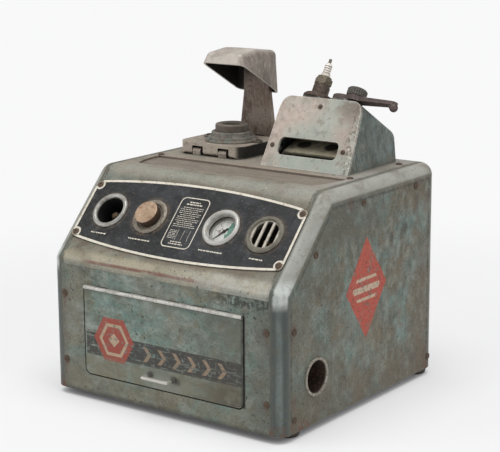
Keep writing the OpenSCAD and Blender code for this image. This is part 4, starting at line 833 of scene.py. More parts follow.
def arm_finish():
    f = cast_skin(Finish("arm casting", "#7d685a", 0.56, 0.08))
    f.cloud(22, 0.5, 0.1, 9, 1, "#8c7d70", stretch=(1, 1, 1.6))
    f.cloud(11, 0.42, 0.08, 9, 0.7, "#5c493d", 0.62, grain=0.72)
    f.lay(f.spot((-74, 132, 326), 17, 8, (1.2, 3, 0.8), 14) * 0.6, "#a1968a", rough=0.5)
    f.cloud(2.2, 0.3, 0.03, 3, 0.5, "#a3988c", 0.45, stretch=(1, 1, 7))
    f.cloud(3, 0.3, 0.05, 5, 0.5, "#42352c", 0.6)
    f.lay(f.edges(1.8, 5, 0.4) * 0.6, "#a39788", rough=0.42)
    # dark at the top of the arm: the painted shadow under the hood
    f.lay(ramp(f.xyz()[2], 372, 396) * 0.85, "#241d19", rough=0.7)
    return f.done(bump=0.4, reach=0.25)


# %% Finish of the cleaner head
def cleaner_finish():
    f = cast_skin(Finish("cleaner casting", "#bdb1a3", 0.52, 0.06))
    f.cloud(20, 0.5, 0.1, 8, 1, "#c1b7aa")
    f.cloud(10, 0.42, 0.08, 9, 0.7, "#7b7165", 0.6, grain=0.72)
    # the right side near black: painted shadow from the test head, with some grime
    f.lay(ramp(f.facing((1, 0, 0)), 0.26, 0.7) * 0.98, "#14120f", rough=0.6)
    f.cloud(8, 0.35, 0.1, 7, 0.3, "#4a443c", on=f.facing((1, 0, 0)))
    f.cloud(14, 0.5, 0.12, 8, 0.4, "#85776a", 0.7, on=f.facing((0, 0, 1)), floor=0.3)
    f.lay(f.edges(2.6, 5, 0.4) * 0.7, "#c6bdaf", rough=0.42)
    f.lay(f.dust(0.3), "#8d8275", rough=0.75)
    # grime and painted shade in the corners
    f.lay(ramp(f.corners(9, 1.2), 0.35, 0.9) * 0.88, "#221d18", rough=0.7)
    return f.done(bump=0.4, reach=0.25)


def ring_finish():
    f = cast_skin(Finish("clamp ring casting", "#6b635a", 0.5, 0.12), 1.2, 7)
    f.cloud(14, 0.5, 0.1, 8, 1, "#857e73")
    f.cloud(9, 0.55, 0.08, 7, 0.6, "#75857f", on=f.facing((0.3, -1, 0.2)))
    f.cloud(6, 0.36, 0.06, 8, 0.7, "#473e35", 0.6)
    f.lay(f.edges(1.2, 5, 0.4) * 0.7, "#aaa49a", rough=0.42)
    # grime and painted shade in the corners
    f.lay(ramp(f.corners(6, 1.2), 0.3, 0.9) * 0.85, "#231e1a", rough=0.7)
    return f.done(bump=0.35, reach=0.2)


def boot_finish():
    f = Finish("hard rubber", "#5d534a", 0.58)
    f.cloud(9, 0.5, 0.2, 6, 1, "#6c635a")
    f.cloud(7, 0.5, 0.2, 4, 0.6, "#8a8176", 0.75, on=f.facing((0, 0, 1)))
    f.lay(f.edges(1.4, 4, 0.5) * 0.5, "#82786d", rough=0.65)
    # grime and painted shade in the corners
    f.lay(ramp(f.corners(7, 1.2), 0.35, 0.9) * 0.85, "#1e1915", rough=0.8)
    return f.relief(1, 0.5).done(bump=0.3, reach=0.2)


# %% [markdown]
# ## Finishes of the test head
#
# The front plate is a paler casting: tan where paint has gone at the upper left, sage green in the middle,
# and chipped to bright metal down its right edge. The housing behind it is darker, because it lies in shade
# and oil.

# %% Finish of the front plate and housing
def plate_finish():
    f = cast_skin(Finish("tester plate casting", "#adafa4", 0.5, 0.1), 1.3, 8)
    u, v, _ = f.on_board(TEST_FACE)
    f.cloud(26, 0.5, 0.1, 8, 0.8, "#b8bab0", grain=0.66)
    f.cloud(12, 0.4, 0.07, 9, 0.5, "#9aa79f", grain=0.7)
    tan = limited(ramp(v - u * 0.35, 50, 80) * ramp(u, 22, -18) + ramp(u, -30, -54) * 0.85)
    f.cloud(15, 0.6, 0.1, 8, 0.5, "#c9b9ad", on=tan, floor=0.45)
    f.cloud(7, 0.44, 0.07, 9, 0.4, "#ab998d", on=tan, stretch=(1.4, 1, 1), grain=0.72)
    f.cloud(14, 0.56, 0.1, 8, 0.6, "#b6a398", on=ramp(u, 14, 44) * band(v, 26, 86, 10), floor=0.12)
    f.cloud(12, 0.55, 0.12, 8, 0.6, "#a8b2a8", on=ramp(v, 30, 6))
    f.cloud(14, 0.62, 0.1, 8, 0.5, "#6d625a", 0.6, on=ramp(v, 58, 84) * ramp(u, 14, 46), floor=0.16)
    f.cloud(14, 0.44, 0.08, 8, 0.5, "#84786c", 0.6, on=ramp(v, 74, 92))
    f.cloud(10, 0.46, 0.12, 8, 0.45, "#8a7d71", on=ramp(size_of(u), 44, 56) * band(v, 4, 92, 3))
    f.cloud(3.4, 0.18, 0.05, 4, 0.4, "#7c7064", 0.55)
    f.cloud(3, 0.14, 0.03, 5, 0.6, "#d9d5ca", 0.4)
    f.cloud(8, 0.28, 0.05, 8, 0.5, "#83776b", 0.55)
    chipped = ramp(u + v * 0.056, 55, 60) * f.blotches(5, 0.3, 0.04, 7)
    f.lay(chipped * 0.8, "#d8d5ca", rough=0.38)
    f.cloud(4, 0.36, 0.04, 8, 0.7, "#5d5249", 0.55, on=ramp(u + v * 0.056, 52, 58))
    f.lay(f.edges(1.6, 8, 0.5) * 0.9, "#e0dcd2", rough=0.35)
    # grime and painted shade in the corners
    f.lay(ramp(f.corners(5, 1.2), 0.4, 0.95) * 0.75, "#322b24", rough=0.7)
    return f.done(bump=0.35, reach=0.2)


def housing_finish():
    f = cast_skin(Finish("tester housing casting", "#626b66", 0.5, 0.08), 1.4, 8)
    _, y, z = f.xyz()
    f.cloud(28, 0.5, 0.08, 8, 1, "#758380", grain=0.66)
    f.cloud(14, 0.4, 0.07, 9, 0.6, "#6f6a5d", 0.6, grain=0.72)
    f.cloud(7, 0.42, 0.07, 8, 0.6, "#4a5049", 0.6, stretch=(1, 1, 2))
    behind_plate = y - TESTER_Y - (z - DECK_HEIGHT) * (TESTER_LEAN / TESTER_HEIGHT)
    f.cloud(6, 0.5, 0.05, 8, 0.75, "#9fa096", on=ramp(behind_plate, 10, 1))
    f.cloud(10, 0.6, 0.15, 7, 0.7, "#5c5249", 0.62, on=ramp(z, 352, 366))
    f.cloud(16, 0.5, 0.2, 4, 0.5, "#7b7468", 0.62, on=ramp(z, 296, 285))
    f.cloud(2.6, 0.14, 0.03, 3, 0.7, "#332e28", 0.6)
    f.cloud(2, 0.24, 0.03, 3, 0.5, "#9aa39d", 0.45, stretch=(1, 1, 3))
    f.lay(f.edges(2, 6, 0.6) * 0.7, "#aeb0a7", rough=0.38)
    # grime and painted shade in the corners
    f.lay(ramp(f.corners(8, 1.2), 0.4, 0.95) * 0.7, "#2f2923", rough=0.7)
    return f.done(bump=0.35, reach=0.2)


def chamber_finish():
    f = cast_skin(Finish("chamber casting", "#2e2a26", 0.6, 0.1), 1.4, 8)
    f.cloud(12, 0.5, 0.2, 6, 0.7, "#4a443c")
    # a pale pool on the chamber's floor towards the slot: painted light
    f.cloud(14, 0.6, 0.12, 7, 0.35, "#d8cdb4", 0.7, on=f.facing((0, 0, 1)) * ramp(f.xyz()[0], 22, 46),
            floor=0.65)
    return f.done(bump=0.3, reach=0.2)


# %% [markdown]
# ## Metals, rubber, porcelain and glass
#
# Small fittings share one recipe: a base metal, a cloudy tarnish, spots of rust or dirt, rubbed edges, and
# grime with painted shade in the corners. The values that differ are given in a table, so a new fitting needs
# only one more line. A row gives the colours of metal, tarnish and dirt, the roughness and how metallic it
# is. Some rows go on with the colour of rubbed edges, the size and coverage of the tarnish, and the amounts
# of grime and painted shade in corners and of dirt.

# %% One recipe for small metal fittings
def fitting(name, base, tarnish, dirt, rough, metal, shine=None, size=6, cover=0.45, grime=0.7, dirty=0.34):
    f = Finish(name, base, rough, metal)
    f.cloud(size, cover, 0.16, 6, 1, tarnish, min(rough + 0.12, 0.8), metal=metal * 0.8)
    f.cloud(size * 0.4, dirty, 0.07, 5, 0.75, dirt, 0.65, metal=metal * 0.3)
    if shine:
        f.lay(f.edges(0.8, 5, 0.4) * 0.8, shine, rough=max(rough - 0.12, 0.2), metal=metal)
    # grime and painted shade in the corners
    f.lay(ramp(f.corners(3, 1.2), 0.35, 0.95) * grime, "#231e19", rough=0.7, metal=0)
    return f.relief(0.9, 0.4)


FITTINGS = {
    "screw_steel": ("#54473c", "#665342", "#392e26", 0.55, 0.3, "#8b7a67", 2.5),
    "hinge_steel": ("#cfcdc6", "#aeaba2", "#6b6458", 0.34, 0.5, "#ebe9e3", 9, 0.45, 0.9, 0.18),
    "bezel_chrome": ("#bdbbb5", "#98948c", "#665c51", 0.34, 0.5, "#e4e1da", 9, 0.45, 0.7, 0.16),
    "dish_steel": ("#a0988b", "#857a6b", "#574a3d", 0.42, 0.4, "#c9c0b1"),
    "brass_parts": ("#a5835a", "#8b6a47", "#4c3a29", 0.4, 0.7, "#caa97a"),
    "case_steel": ("#55524c", "#45413b", "#2d2823", 0.5, 0.5),
    "bracket_steel": ("#8d8a80", "#77725f", "#50483b", 0.4, 0.7),
    "frame_steel": ("#4f4c46", "#5d4c3f", "#33291f", 0.6, 0.4),
    "adapter_metal": ("#5d4c42", "#4b4039", "#2c2420", 0.46, 0.35, "#8f7d6e"),
    "plug_metal": ("#7a7061", "#6a6152", "#3c342b", 0.4, 0.65, "#a89d8a"),
    "lever_cast": ("#51443f", "#625451", "#2f2724", 0.46, 0.2, "#96877d"),
    "coil_black": ("#2b2a29", "#383633", "#1c1a18", 0.5, 0.1),
    "pan_paint": ("#4b4d48", "#57534a", "#332e28", 0.62, 0.1),
}
FINISH = {slot: fitting(slot.replace("_", " "), *values).done(bump=0.3, reach=0.12)
          for slot, values in FITTINGS.items()}
print("fittings:", ", ".join(FINISH))


# %% Chrome handle, cleaning sleeve, rubber feet and the black cap
def handle_finish():
    f = Finish("handle chrome", "#c6c4bd", 0.34, 0.45)
    f.cloud(26, 0.4, 0.2, 3, 0.3, "#a9a59c", 0.38)
    # the underside darker: painted shade
    f.lay(ramp(f.facing((0, -0.2, -1)), 0.3, 0.9) * 0.8, "#5d5850", rough=0.4)
    f.lay(ramp(f.xyz()[1], -184.5, -180) * 0.8, "#3a322a", rough=0.6, metal=0.3)
    return f.done()


def sleeve_finish():
    f = fitting("sleeve steel", "#a39e93", "#8a8275", "#5f5140", 0.38, 0.7, "#cfcabd", 5)
    inside = ramp(f.xyz()[0], 178.4, 176.6)
    f.lay(inside, "#2a211b", rough=0.75, metal=0)
    f.cloud(2.4, 0.42, 0.08, 4, 0.8, "#5b4130", 0.8, metal=0, on=inside)
    f.raise_by(inside * f.blotches(2, 0.5, 0.2, output=1) * 2)
    return f.done(bump=0.5, reach=0.3)


def rubber_finish():
    f = Finish("foot rubber", "#37322c", 0.7)
    f.cloud(6, 0.5, 0.2, 5, 1, "#4a433b", 0.8)
    f.lay(f.edges(1.2, 4, 0.5) * 0.5, "#5f564b", rough=0.8)
    return f.relief(1, 1).done(bump=0.3, reach=0.2)


def cap_finish():
    f = Finish("black cap", "#4b4641", 0.42)
    f.cloud(5, 0.5, 0.2, 5, 1, "#59534c", 0.5)
    f.lay(f.edges(0.7, 5, 0.4) * 0.8, "#958b80", rough=0.45)
    f.cloud(4, 0.5, 0.2, 4, 0.5, "#5c554c", 0.6, on=f.facing((0, 0.52, 0.85)))
    # near black in the cap's grooves: painted shade
    f.lay(ramp(f.corners(2, 1.5), 0.2, 0.6) * 0.95, "#0f0e0c", rough=0.7)
    return f.done(bump=0.2, reach=0.1)


FINISH.update(handle_chrome=handle_finish(), sleeve_steel=sleeve_finish(), foot_rubber=rubber_finish(),
              cap_black=cap_finish())
print("finishes so far:", len(FINISH))


# %% Tan control knob
def knob_finish():
    f = Finish("knob metal", "#ad9277", 0.42, 0.2)
    _, _, h = f.on_board(CONTROL_FACE)
    f.cloud(9, 0.5, 0.12, 7, 1, "#bea187", 0.45)
    f.cloud(5, 0.36, 0.06, 8, 0.65, "#886b52", 0.5)
    f.cloud(1.6, 0.26, 0.03, 3, 0.5, "#d8c6b0", 0.4, stretch=(5, 1, 1))
    # the knob's sides dark brown: painted shade
    f.lay(1 - f.facing((0, -0.7245, 0.6893)), "#4d3929", rough=0.5)
    # darker still near its foot: painted shade
    f.lay(ramp(h, 12, 4) * 0.75, "#2f261e", rough=0.6, metal=0.1)
    f.lay(f.edges(1, 5, 0.3), "#d6c3ab", rough=0.35)
    return f.relief(1.2, 0.4).done(bump=0.2, reach=0.15)


# %% Porcelain of the plug, with fired brown rings
def porcelain_finish():
    f = Finish("plug porcelain", "#e6e2da", 0.22)
    _, _, h = f.on_board(at(TEST_SLOPE, -PORT_U, PORT_V))
    for step in range(4):
        low = ADAPTER_HEIGHT + 17.6 + step * 3.1
        f.lay(band(h, low - 0.35, low + 0.55, 0.25) * 0.9, "#6d4a33", rough=0.3)
    f.cloud(5, 0.4, 0.2, 5, 0.5, "#cfc6b8")
    f.cloud(4, 0.5, 0.2, 4, 0.6, "#b5a690", 0.4, on=ramp(h, 44, 38))
    return f.done(Coat_Weight=0.4, Coat_Roughness=0.1)


# %% Dial, pointer, glass and mirror
def dial_finish():
    f = Finish("dial white", "#fbfaf6", 0.6)
    u, v, _ = f.on_board(at(CONTROL_FACE, DIALS["gauge"], DIAL_V))
    f.cloud(9, 0.5, 0.2, 6, 0.3, "#dcd6c8")
    away = distance(u, v)
    zone = ramp(away, 4.4, 4.8) * ramp(away, 15.8, 15.4) * ramp(u - size_of(v + 1) * 0.35, 0.4, 1)
    f.lay(zone * 0.85, "#4f9a84", rough=0.6)
    warm = ramp(size_of(u + 5) / 4.6 + size_of(v + 1) / 6.5, 1.1, 0.8)
    f.cloud(2, 0.62, 0.06, 5, 0.85, "#8f6f63", 0.6, on=warm)
    f.lay(ramp(away, 15.2, 16.8) * 0.6, "#8a8374")
    return f.done()


def clear_glass():
    material = bpy.data.materials.new("clear glass")
    tree = empty_tree(material)
    through, shine = tree.nodes.new("ShaderNodeBsdfTransparent"), tree.nodes.new("ShaderNodeBsdfGlossy")
    through.inputs[0].default_value = (0.98, 0.985, 0.98, 1)
    shine.inputs["Roughness"].default_value = 0.06
    edge = tree.nodes.new("ShaderNodeFresnel")
    edge.inputs[0].default_value = 1.25
    mix_shaders(tree, Wire(tree, edge.outputs[0]), through, shine, "ShaderNodeOutputMaterial")
    return material


def mirror_finish():
    """Old mirror glass under a beige film, partly dust and partly a painted reflection, painted shade to the
    left.
    """
    f = Finish("dusty mirror with painted reflections", "#aaa48f", 0.3, 0.3)
    f.cloud(16, 0.5, 0.1, 6, 0.7, "#8f8873", 0.4)
    f.cloud(7, 0.36, 0.06, 7, 0.6, "#6d6451", 0.5)
    # dark towards the left: painted shade inside the slot
    f.lay(ramp(f.xyz()[0], 48, 24) * 0.95, "#171411", rough=0.6, metal=0)
    # a dark patch under each port: the painted reflection of that port
    for side in (-PORT_U, PORT_U):
        port_reflection = f.spot((TESTER_X + side, 60, 308), 8.5, 2, (1.25, 1, 1), 2.5)
        f.lay(port_reflection * 0.95, "#0d0b0a", rough=0.6, metal=0)
    return f.done()


FINISH.update(knob_metal=knob_finish(), plug_ceramic=porcelain_finish(), dial_white=dial_finish(),
              clear_glass=clear_glass(), mirror_glass=mirror_finish(),
              pointer_black=fitting("pointer black", "#1d1c1b", "#2b2926", "#111010", 0.5, 0.1).done())
print("finishes so far:", len(FINISH))


# %% Near-black enamel of the control plate
def fascia_finish():
    f = Finish("control plate enamel", "#252627", 0.46)
    u, v, _ = f.on_board(CONTROL_FACE)
    f.cloud(46, 0.42, 0.1, 8, 1, "#323538", 0.5)
    f.cloud(15, 0.42, 0.1, 8, 0.7, "#1f1f20", 0.36)
    f.cloud(20, 0.3, 0.07, 9, 0.55, "#525558", 0.56, grain=0.74)
    f.cloud(3.2, 0.26, 0.05, 6, 0.4, "#54514c", 0.55)
    f.cloud(2, 0.16, 0.03, 4, 0.35, "#76726a", 0.5, stretch=(3, 1, 1))
    f.cloud(2, 0.1, 0.03, 3, 0.6, "#8b857a", 0.5)
    for dial in DIALS.values():
        ring = ramp(distance(u - dial, v - DIAL_V), 31, 24)
        f.cloud(5, 0.56, 0.1, 8, 0.7, "#6b5c4c", 0.7, on=ring)
    corner = ramp(distance(size_of(u) - SCREW_U, size_of(v - PLATE_V) - SCREW_V), 6.6, 5.6)
    f.cloud(3, 0.5, 0.16, 6, 0.4, "#b3a78f", 0.5, metal=0.1, on=corner, floor=0.6)
    f.lay(f.edges(0.8, 6, 0.5) * 0.8, "#9a958a", rough=0.4)
    return f.relief(22, 0.5).done(bump=0.2, reach=0.3)


def print_ink():
    f = Finish("printed cream ink", "#e6e0d2", 0.5)
    f.cloud(12, 0.45, 0.2, 6, 0.6, "#cfc6b3")
    f.cloud(2.2, 0.2, 0.06, 5, 0.7, "#8b7f6c", 0.6)
    f.cloud(5, 0.2, 0.06, 6, 0.6, "#8d6f55", 0.6)
    return f.done()


def grille_finish():
    f = Finish("grille paint", "#cfc9bb", 0.45, 0.1)
    f.cloud(8, 0.5, 0.2, 6, 0.6, "#b9b1a0")
    f.cloud(3, 0.34, 0.08, 6, 0.6, "#7c7263", 0.6)
    u, v, _ = f.on_board(at(CONTROL_FACE, DIALS["grille"], DIAL_V))
    away = distance(u, v)
    f.lay(ramp(away, 18.4, 18.9), "#827e72", rough=0.38, metal=0.4)
    f.cloud(6, 0.4, 0.14, 7, 0.6, "#635c50", 0.5, on=ramp(away, 18.4, 18.9))
    f.lay(f.edges(0.7, 5, 0.4) * 0.7, "#ddd7ca", rough=0.35)
    # grime and painted shade in the corners
    f.lay(ramp(f.corners(4, 1.2), 0.45, 0.95) * 0.6, "#3a332a", rough=0.7)
    return f.done(bump=0.2, reach=0.1)


def tube_finish():
    """The bright ring round the indicator, and the tube behind it, near black as painted shade."""
    f = fitting("indicator ring", *FITTINGS["bezel_chrome"])
    _, _, h = f.on_board(CONTROL_FACE)
    # below the plate's face the tube is near black: painted shade
    f.lay(ramp(h, 2.2, 0.4), "#0b0a09", rough=0.8, metal=0)
    return f.done(bump=0.3, reach=0.12)


def socket_finish():
    # the lamp socket's brass, darker than the other brass: painted shade inside the tube
    return fitting("brass in painted shade", "#5f4a33", "#43331f", "#241b12", 0.5, 0.3).done(bump=0.3, reach=0.1)


def funnel_finish():
    f = fitting("gauge ring", "#cbc9c3", "#aeaba3", "#7b7266", 0.36, 0.35, "#ebe8e1", 9, 0.4, 0.4, 0.14)
    return f.done(bump=0.3, reach=0.12)


FINISH.update(
    front_paint=FRONT_PAINT, door_paint=DOOR_PAINT, hood_cast=hood_finish(), cleaner_cast=cleaner_finish(),
    ring_cast=ring_finish(), boot_rubber=boot_finish(), tester_plate=plate_finish(),
    tester_cast=housing_finish(), chamber_cast=chamber_finish(), fascia_paint=fascia_finish(),
    side_paint=SIDE_PAINT, deck_paint=WRAP_PAINT)
FINISH_OF_NODE = {"hood_arm": arm_finish(), "gap_grille": grille_finish(), "indicator_bezel": tube_finish(),
                  "gauge_bezel": funnel_finish(), "cleaner_lugs": FINISH["cleaner_cast"],
                  "cleaner_pins": FINISH["frame_steel"],
                  "lamp_socket": socket_finish()}
INK = print_ink()
print("finishes in all:", len(FINISH))

# %% [markdown]
# ## Rounded castings and pressings
#
# Each entry gives a node, the width of its rounding in millimetres and the number of steps. Large sand
# castings get wide rounds, turned and stamped pieces get narrow ones. Pieces that hardly show keep their
# engineering mesh and only get a finish.

# %% Ease and dress the castings and fittings
ROUNDED = (
    ("hood", 1.3, 2), ("hood_arm", 2.2, 3), ("cleaner_base", 4.5, 4), ("clamp_ring", 1, 2),
    ("rubber_boot", 1.6, 3), ("test_housing", 1.2, 2), ("test_plate", 0.8, 2), ("valve_lever", 1.1, 2),
    ("knurled_cap", 0.35, 1), ("port_adapter", 0.5, 2), ("plug_shell", 0.35, 2), ("plug_insulator", 0.3, 2),
    ("plug_terminal", 0.3, 2), ("control_knob", 0.8, 3), ("knob_dish", 0.5, 2), ("indicator_bezel", 0.6, 2),
    ("gauge_bezel", 0.6, 2), ("gap_grille", 0.5, 2), ("gap_cup", 0.2, 1), ("exhaust_sleeve", 0.3, 2),
    ("door", 0.6, 2), ("front_panel", 0.5, 2), ("back_panel", 0.5, 2), ("fascia_plate", 0.3, 2),
    ("door_handle", 0.3, 2), ("hinge_leaf", 0.15, 1), ("hinge_flap", 0.15, 1), ("cabinet_screws", 0.25, 2),
    ("plate_screws", 0.2, 2), ("ring_screws", 0.2, 2), ("hood_rivets", 0.4, 2), ("feet", 0.8, 2),
    ("cleaner_lugs", 0.6, 2), ("cleaner_pins", 0.3, 1), ("lamp_socket", 0.3, 1), ("air_inlet", 0.3, 1),
    ("mirror_bracket", 0.3, 1))
DRESSED = {node: eased(node, width, steps) for node, width, steps in ROUNDED}
for node in nodes:
    material = FINISH_OF_NODE.get(node) or FINISH[slot_of[node]]
    wear(DRESSED.get(node, node), material)
    if node not in DRESSED and node not in ("left_side", "right_side", "top_wrap"):
        smooth(nodes[node], 35)
print("rounded pieces:", len(DRESSED), "of", len(nodes))

# %% [markdown]
# ## Print on the control plate
#
# The plate has a cream border that dips round its four corner screws, a framed table in the middle and a
# short caption under each instrument. Print is drawn as rows of small dashes. Every line is a flat ribbon
# just above the enamel.

# %% A ribbon along a line
def ribbon(name, points, width, place_on, closed=False, finish=None):
    bm = bmesh.new()
    count, rails = len(points), []
    for i, p in enumerate(points):
        before = points[(i - 1) % count] if closed or i else p
        after = points[(i + 1) % count] if closed or i < count - 1 else p
        way = Vector((after[0] - before[0], after[1] - before[1], 0)).normalized()
        side = Vector((-way.y, way.x, 0)) * width / 2 * MM
        middle = Vector((p[0] * MM, p[1] * MM, 0))
        rails.append((bm.verts.new(middle + side), bm.verts.new(middle - side)))
    for i in range(count if closed else count - 1):
        (a, b), (c, d) = rails[i], rails[(i + 1) % count]
        bm.faces.new((b, d, c, a))
    piece = to_piece(name, bm, place_on, finish or INK)
    return settle(piece, "cabinet", slot="fascia_paint")


def arc(centre, radius, start, end, steps=10):
    return [(centre[0] + radius * math.cos(math.radians(a)), centre[1] + radius * math.sin(math.radians(a)))
            for a in (start + (end - start) * i / steps for i in range(steps + 1))]


# %% The border
PRINT = at(CONTROL_FACE, 0, PLATE_V, 1.25)
DIP = 5.5
PLATE_U, BORDER_U, BORDER_END, BOW_UP, BOW_DOWN = 163, 161.2, 40.2, 12.3, 12.3


def bowed(u, bow):
    return BORDER_END + bow * (1 - (u / PLATE_U) ** 2)


def border_points():
    top_meet = SCREW_U - math.sqrt(DIP ** 2 - (BORDER_END + 0.9 - SCREW_V) ** 2)
    side_meet = SCREW_V - math.sqrt(DIP ** 2 - (BORDER_U - SCREW_U) ** 2)
    lean = math.degrees(math.atan2(BORDER_END + 0.9 - SCREW_V, top_meet - SCREW_U))
    foot = math.degrees(math.atan2(side_meet - SCREW_V, BORDER_U - SCREW_U)) + 360
    across = [top_meet * (1 - i / 12) for i in range(1, 12)]
    quarter = [(BORDER_U, 0)] + [(u, v) for u, v in reversed(arc((SCREW_U, SCREW_V), DIP, lean, foot, 12))]
    upper = quarter + [(u, bowed(u, BOW_UP)) for u in across]
    lower = quarter + [(u, bowed(u, BOW_DOWN)) for u in across]
    ring = upper + [(0, bowed(0, BOW_UP))] + [(-u, v) for u, v in reversed(upper)]
    return ring + [(-u, -v) for u, v in lower[1:]] + [(0, -bowed(0, BOW_DOWN))] + [
        (u, -v) for u, v in reversed(lower[1:])]


ribbon("plate_border", border_points(), 3.2, PRINT, closed=True)
print("border points:", len(border_points()))


# %% The framed table
def framed(half_w, half_h, r):
    corners = ((half_w - r, half_h - r, 0), (r - half_w, half_h - r, 90), (r - half_w, r - half_h, 180),
               (half_w - r, r - half_h, 270))
    return [p for x, y, start in corners for p in arc((x, y), r, start, start + 90, 6)]


def dashes(name, left, right, v, height, seed, place_on=PRINT):
    """A row of small dashes, as long as a printed line would be. Lengths follow from a plain formula."""
    u, step, bm = left, seed, bmesh.new()
    while u < right - 1:
        length = 1.6 + (step * 7 % 5) * 0.75
        end = min(u + length, right)
        corners = [bm.verts.new((x * MM, y * MM, 0)) for x, y in (
            (u, v - height / 2), (end, v - height / 2), (end, v + height / 2), (u, v + height / 2))]
        bm.faces.new(corners)
        u, step = end + 0.9, step + 3
    return settle(to_piece(name, bm, place_on, INK), "cabinet", slot="fascia_paint")


TABLE = at(PRINT, 0.8, 0)
ribbon("table_frame", framed(21.4, 35.4, 6.5), 1.25, TABLE, closed=True)
dashes("table_title_1", -8, 9, 29.5, 1.5, 1, TABLE)
dashes("table_title_2", -12, 12.5, 26.3, 1.7, 4, TABLE)
for row in range(11):
    dashes(f"table_row_{row + 1}", -17 + (row % 4 == 0) * 3, 16.5 - (row % 3 == 2) * 6, 21.6 - row * 2.75,
           0.75, row * 2 + 1, TABLE)
for row in range(6):
    dashes(f"table_entry_{row + 1}", -17, -6, -12 - row * 2.2, 0.7, row + 2, TABLE)
for line, u in enumerate((-4.5, 4.5, 13.5)):
    ribbon(f"table_rule_{line + 1}", [(u, -10), (u, -25)], 0.4, TABLE)
dashes("table_foot_1", -9, 9.5, -27.6, 1.3, 3, TABLE)
dashes("table_foot_2", -11, 11, -30.6, 1.3, 5, TABLE)
for caption, (u, half) in enumerate(((-121.2, 12), (-54.5, 17.5), (55, 17.5), (122.6, 10))):
    dashes(f"caption_{caption + 1}", u - half, u + half, -32.8, 1.6, caption * 3 + 2)
print("control plate printed")

# %% [markdown]
# ## The gauge's scale
#
# Fine ticks run three quarters of the way round the dial, with a longer one at every fifth and plain
# numbers beside those. They lie on the dial's face, under the glass.

# %% Ticks and numbers on the dial
def face_height(node, drawing_board):
    to_board = drawing_board.inverted()
    return max((to_board @ v.co).z for v in nodes[node].data.vertices) / MM


DIAL = at(CONTROL_FACE, DIALS["gauge"], DIAL_V, face_height("gauge_dial", CONTROL_FACE) + 0.06)
dial_ink = Finish("dial ink", "#2b2926", 0.6).done()


def tick(name, angle, inner, outer, width):
    way = (math.cos(math.radians(angle)), math.sin(math.radians(angle)))
    ends = [(way[0] * r, way[1] * r) for r in (inner, outer)]
    return ribbon(name, ends, width, DIAL, finish=dial_ink)


for step in range(31):
    long_one = step % 5 == 0
    tick(f"dial_tick_{step + 1}", 225 - step * 9, 11.4 if long_one else 12.6, 14.2, 0.5 if long_one else 0.28)
for step in range(7):
    words = bpy.data.curves.new(f"dial_number_{step + 1}", "FONT")
    words.body, words.size, words.align_x, words.align_y = str(step * 25), 2.5 * MM, "CENTER", "CENTER"
    angle = math.radians(225 - step * 45)
    number = bpy.data.objects.new(words.name, words)
    bpy.context.scene.collection.objects.link(number)
    number.matrix_world = at(DIAL, 9.3 * math.cos(angle), 9.3 * math.sin(angle))
    words.materials.append(dial_ink)
    bpy.context.view_layer.update()
    mesh = bpy.data.meshes.new_from_object(number.evaluated_get(bpy.context.evaluated_depsgraph_get()))
    mesh.transform(number.matrix_world)
    bpy.data.objects.remove(number)
    plate = bpy.data.objects.new(f"dial_number_{step + 1}", mesh)
    bpy.context.scene.collection.objects.link(plate)
    settle(plate, "cabinet", slot="dial_white")
print("dial marked")

# %% [markdown]
# ## The studio
#
# A floor of pale paper and three broad soft lamps: the strongest above, a weaker one at the front left and
# the weakest at the right. What the camera sees as background is the paper's own colour, so no lamp has to
# burn it out. Close under the machine the paper is darker, by how much of the sky is hidden from it.

# %% Floor and lamps
PAPER = (0.945, 0.945, 0.95, 1)


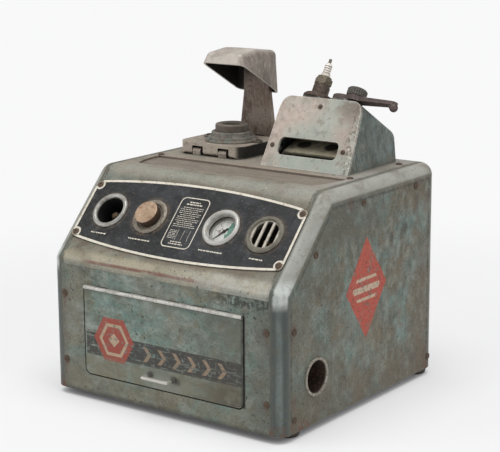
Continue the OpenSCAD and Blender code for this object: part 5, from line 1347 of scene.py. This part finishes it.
def studio():
    floor_bm = bmesh.new()
    corners = [floor_bm.verts.new((x, y, 0)) for x, y in ((-6, -6), (6, -6), (6, 6), (-6, 6))]
    floor_bm.faces.new(corners)
    paper = bpy.data.materials.new("studio paper")
    tree = empty_tree(paper)
    shader, glow = tree.nodes.new("ShaderNodeBsdfDiffuse"), tree.nodes.new("ShaderNodeEmission")
    shader.inputs[0].default_value = (0.93, 0.93, 0.94, 1)
    rays, spot = tree.nodes.new("ShaderNodeLightPath"), tree.nodes.new("ShaderNodeNewGeometry")
    far = ramp(vector_math(tree, "LENGTH", Wire(tree, spot.outputs["Position"])), 0.35, 1.1)
    seen = larger(Wire(tree, rays.outputs["Is Camera Ray"]),
                  Wire(tree, rays.outputs["Is Glossy Ray"])) * (far * 0.55 + 0.45)
    under = tree.nodes.new("ShaderNodeAmbientOcclusion")
    under.inputs["Distance"].default_value = 0.045
    touch = ramp(1 - Wire(tree, under.outputs["AO"]), 0.35, 0.95)
    plug_in(tree, glow.inputs[0], tint(touch, PAPER, (0.12, 0.12, 0.13, 1)))
    mix_shaders(tree, seen, shader, glow, "ShaderNodeOutputMaterial")
    floor = to_piece("studio_floor", floor_bm, finish=paper)
    for name, size, energy, where, aim in (
            ("top_softbox", 1.5, 32, (0.1, -0.25, 2.3), (0, 0, 0.2)),
            ("left_softbox", 1.2, 12.5, (-1.9, -1.9, 1.1), (0, 0, 0.15)),
            ("right_softbox", 1.3, 9.5, (2.2, -0.3, 1.1), (0, 0, 0.15))):
        lamp = bpy.data.lights.new(name, "AREA")
        lamp.size, lamp.energy = size, energy
        holder = bpy.data.objects.new(name, lamp)
        holder.location = where
        holder.rotation_euler = (Vector(aim) - Vector(where)).to_track_quat("-Z", "Y").to_euler()
        bpy.context.scene.collection.objects.link(holder)


def sky():
    world = bpy.data.worlds.new("studio air")
    bpy.context.scene.world = world
    tree = empty_tree(world)
    rays = tree.nodes.new("ShaderNodeLightPath")
    back, seen = tree.nodes.new("ShaderNodeBackground"), tree.nodes.new("ShaderNodeBackground")
    back.inputs[0].default_value, back.inputs[1].default_value = (1, 1, 1, 1), 0.36
    seen.inputs[0].default_value, seen.inputs[1].default_value = PAPER, 1
    direct, through = (Wire(tree, rays.outputs[kind]) for kind in ("Is Camera Ray", "Is Transmission Ray"))
    mix_shaders(tree, larger(direct, through), back, seen, "ShaderNodeOutputWorld")


studio()
sky()
bpy.context.scene.view_settings.view_transform = "Standard"
print("studio ready")
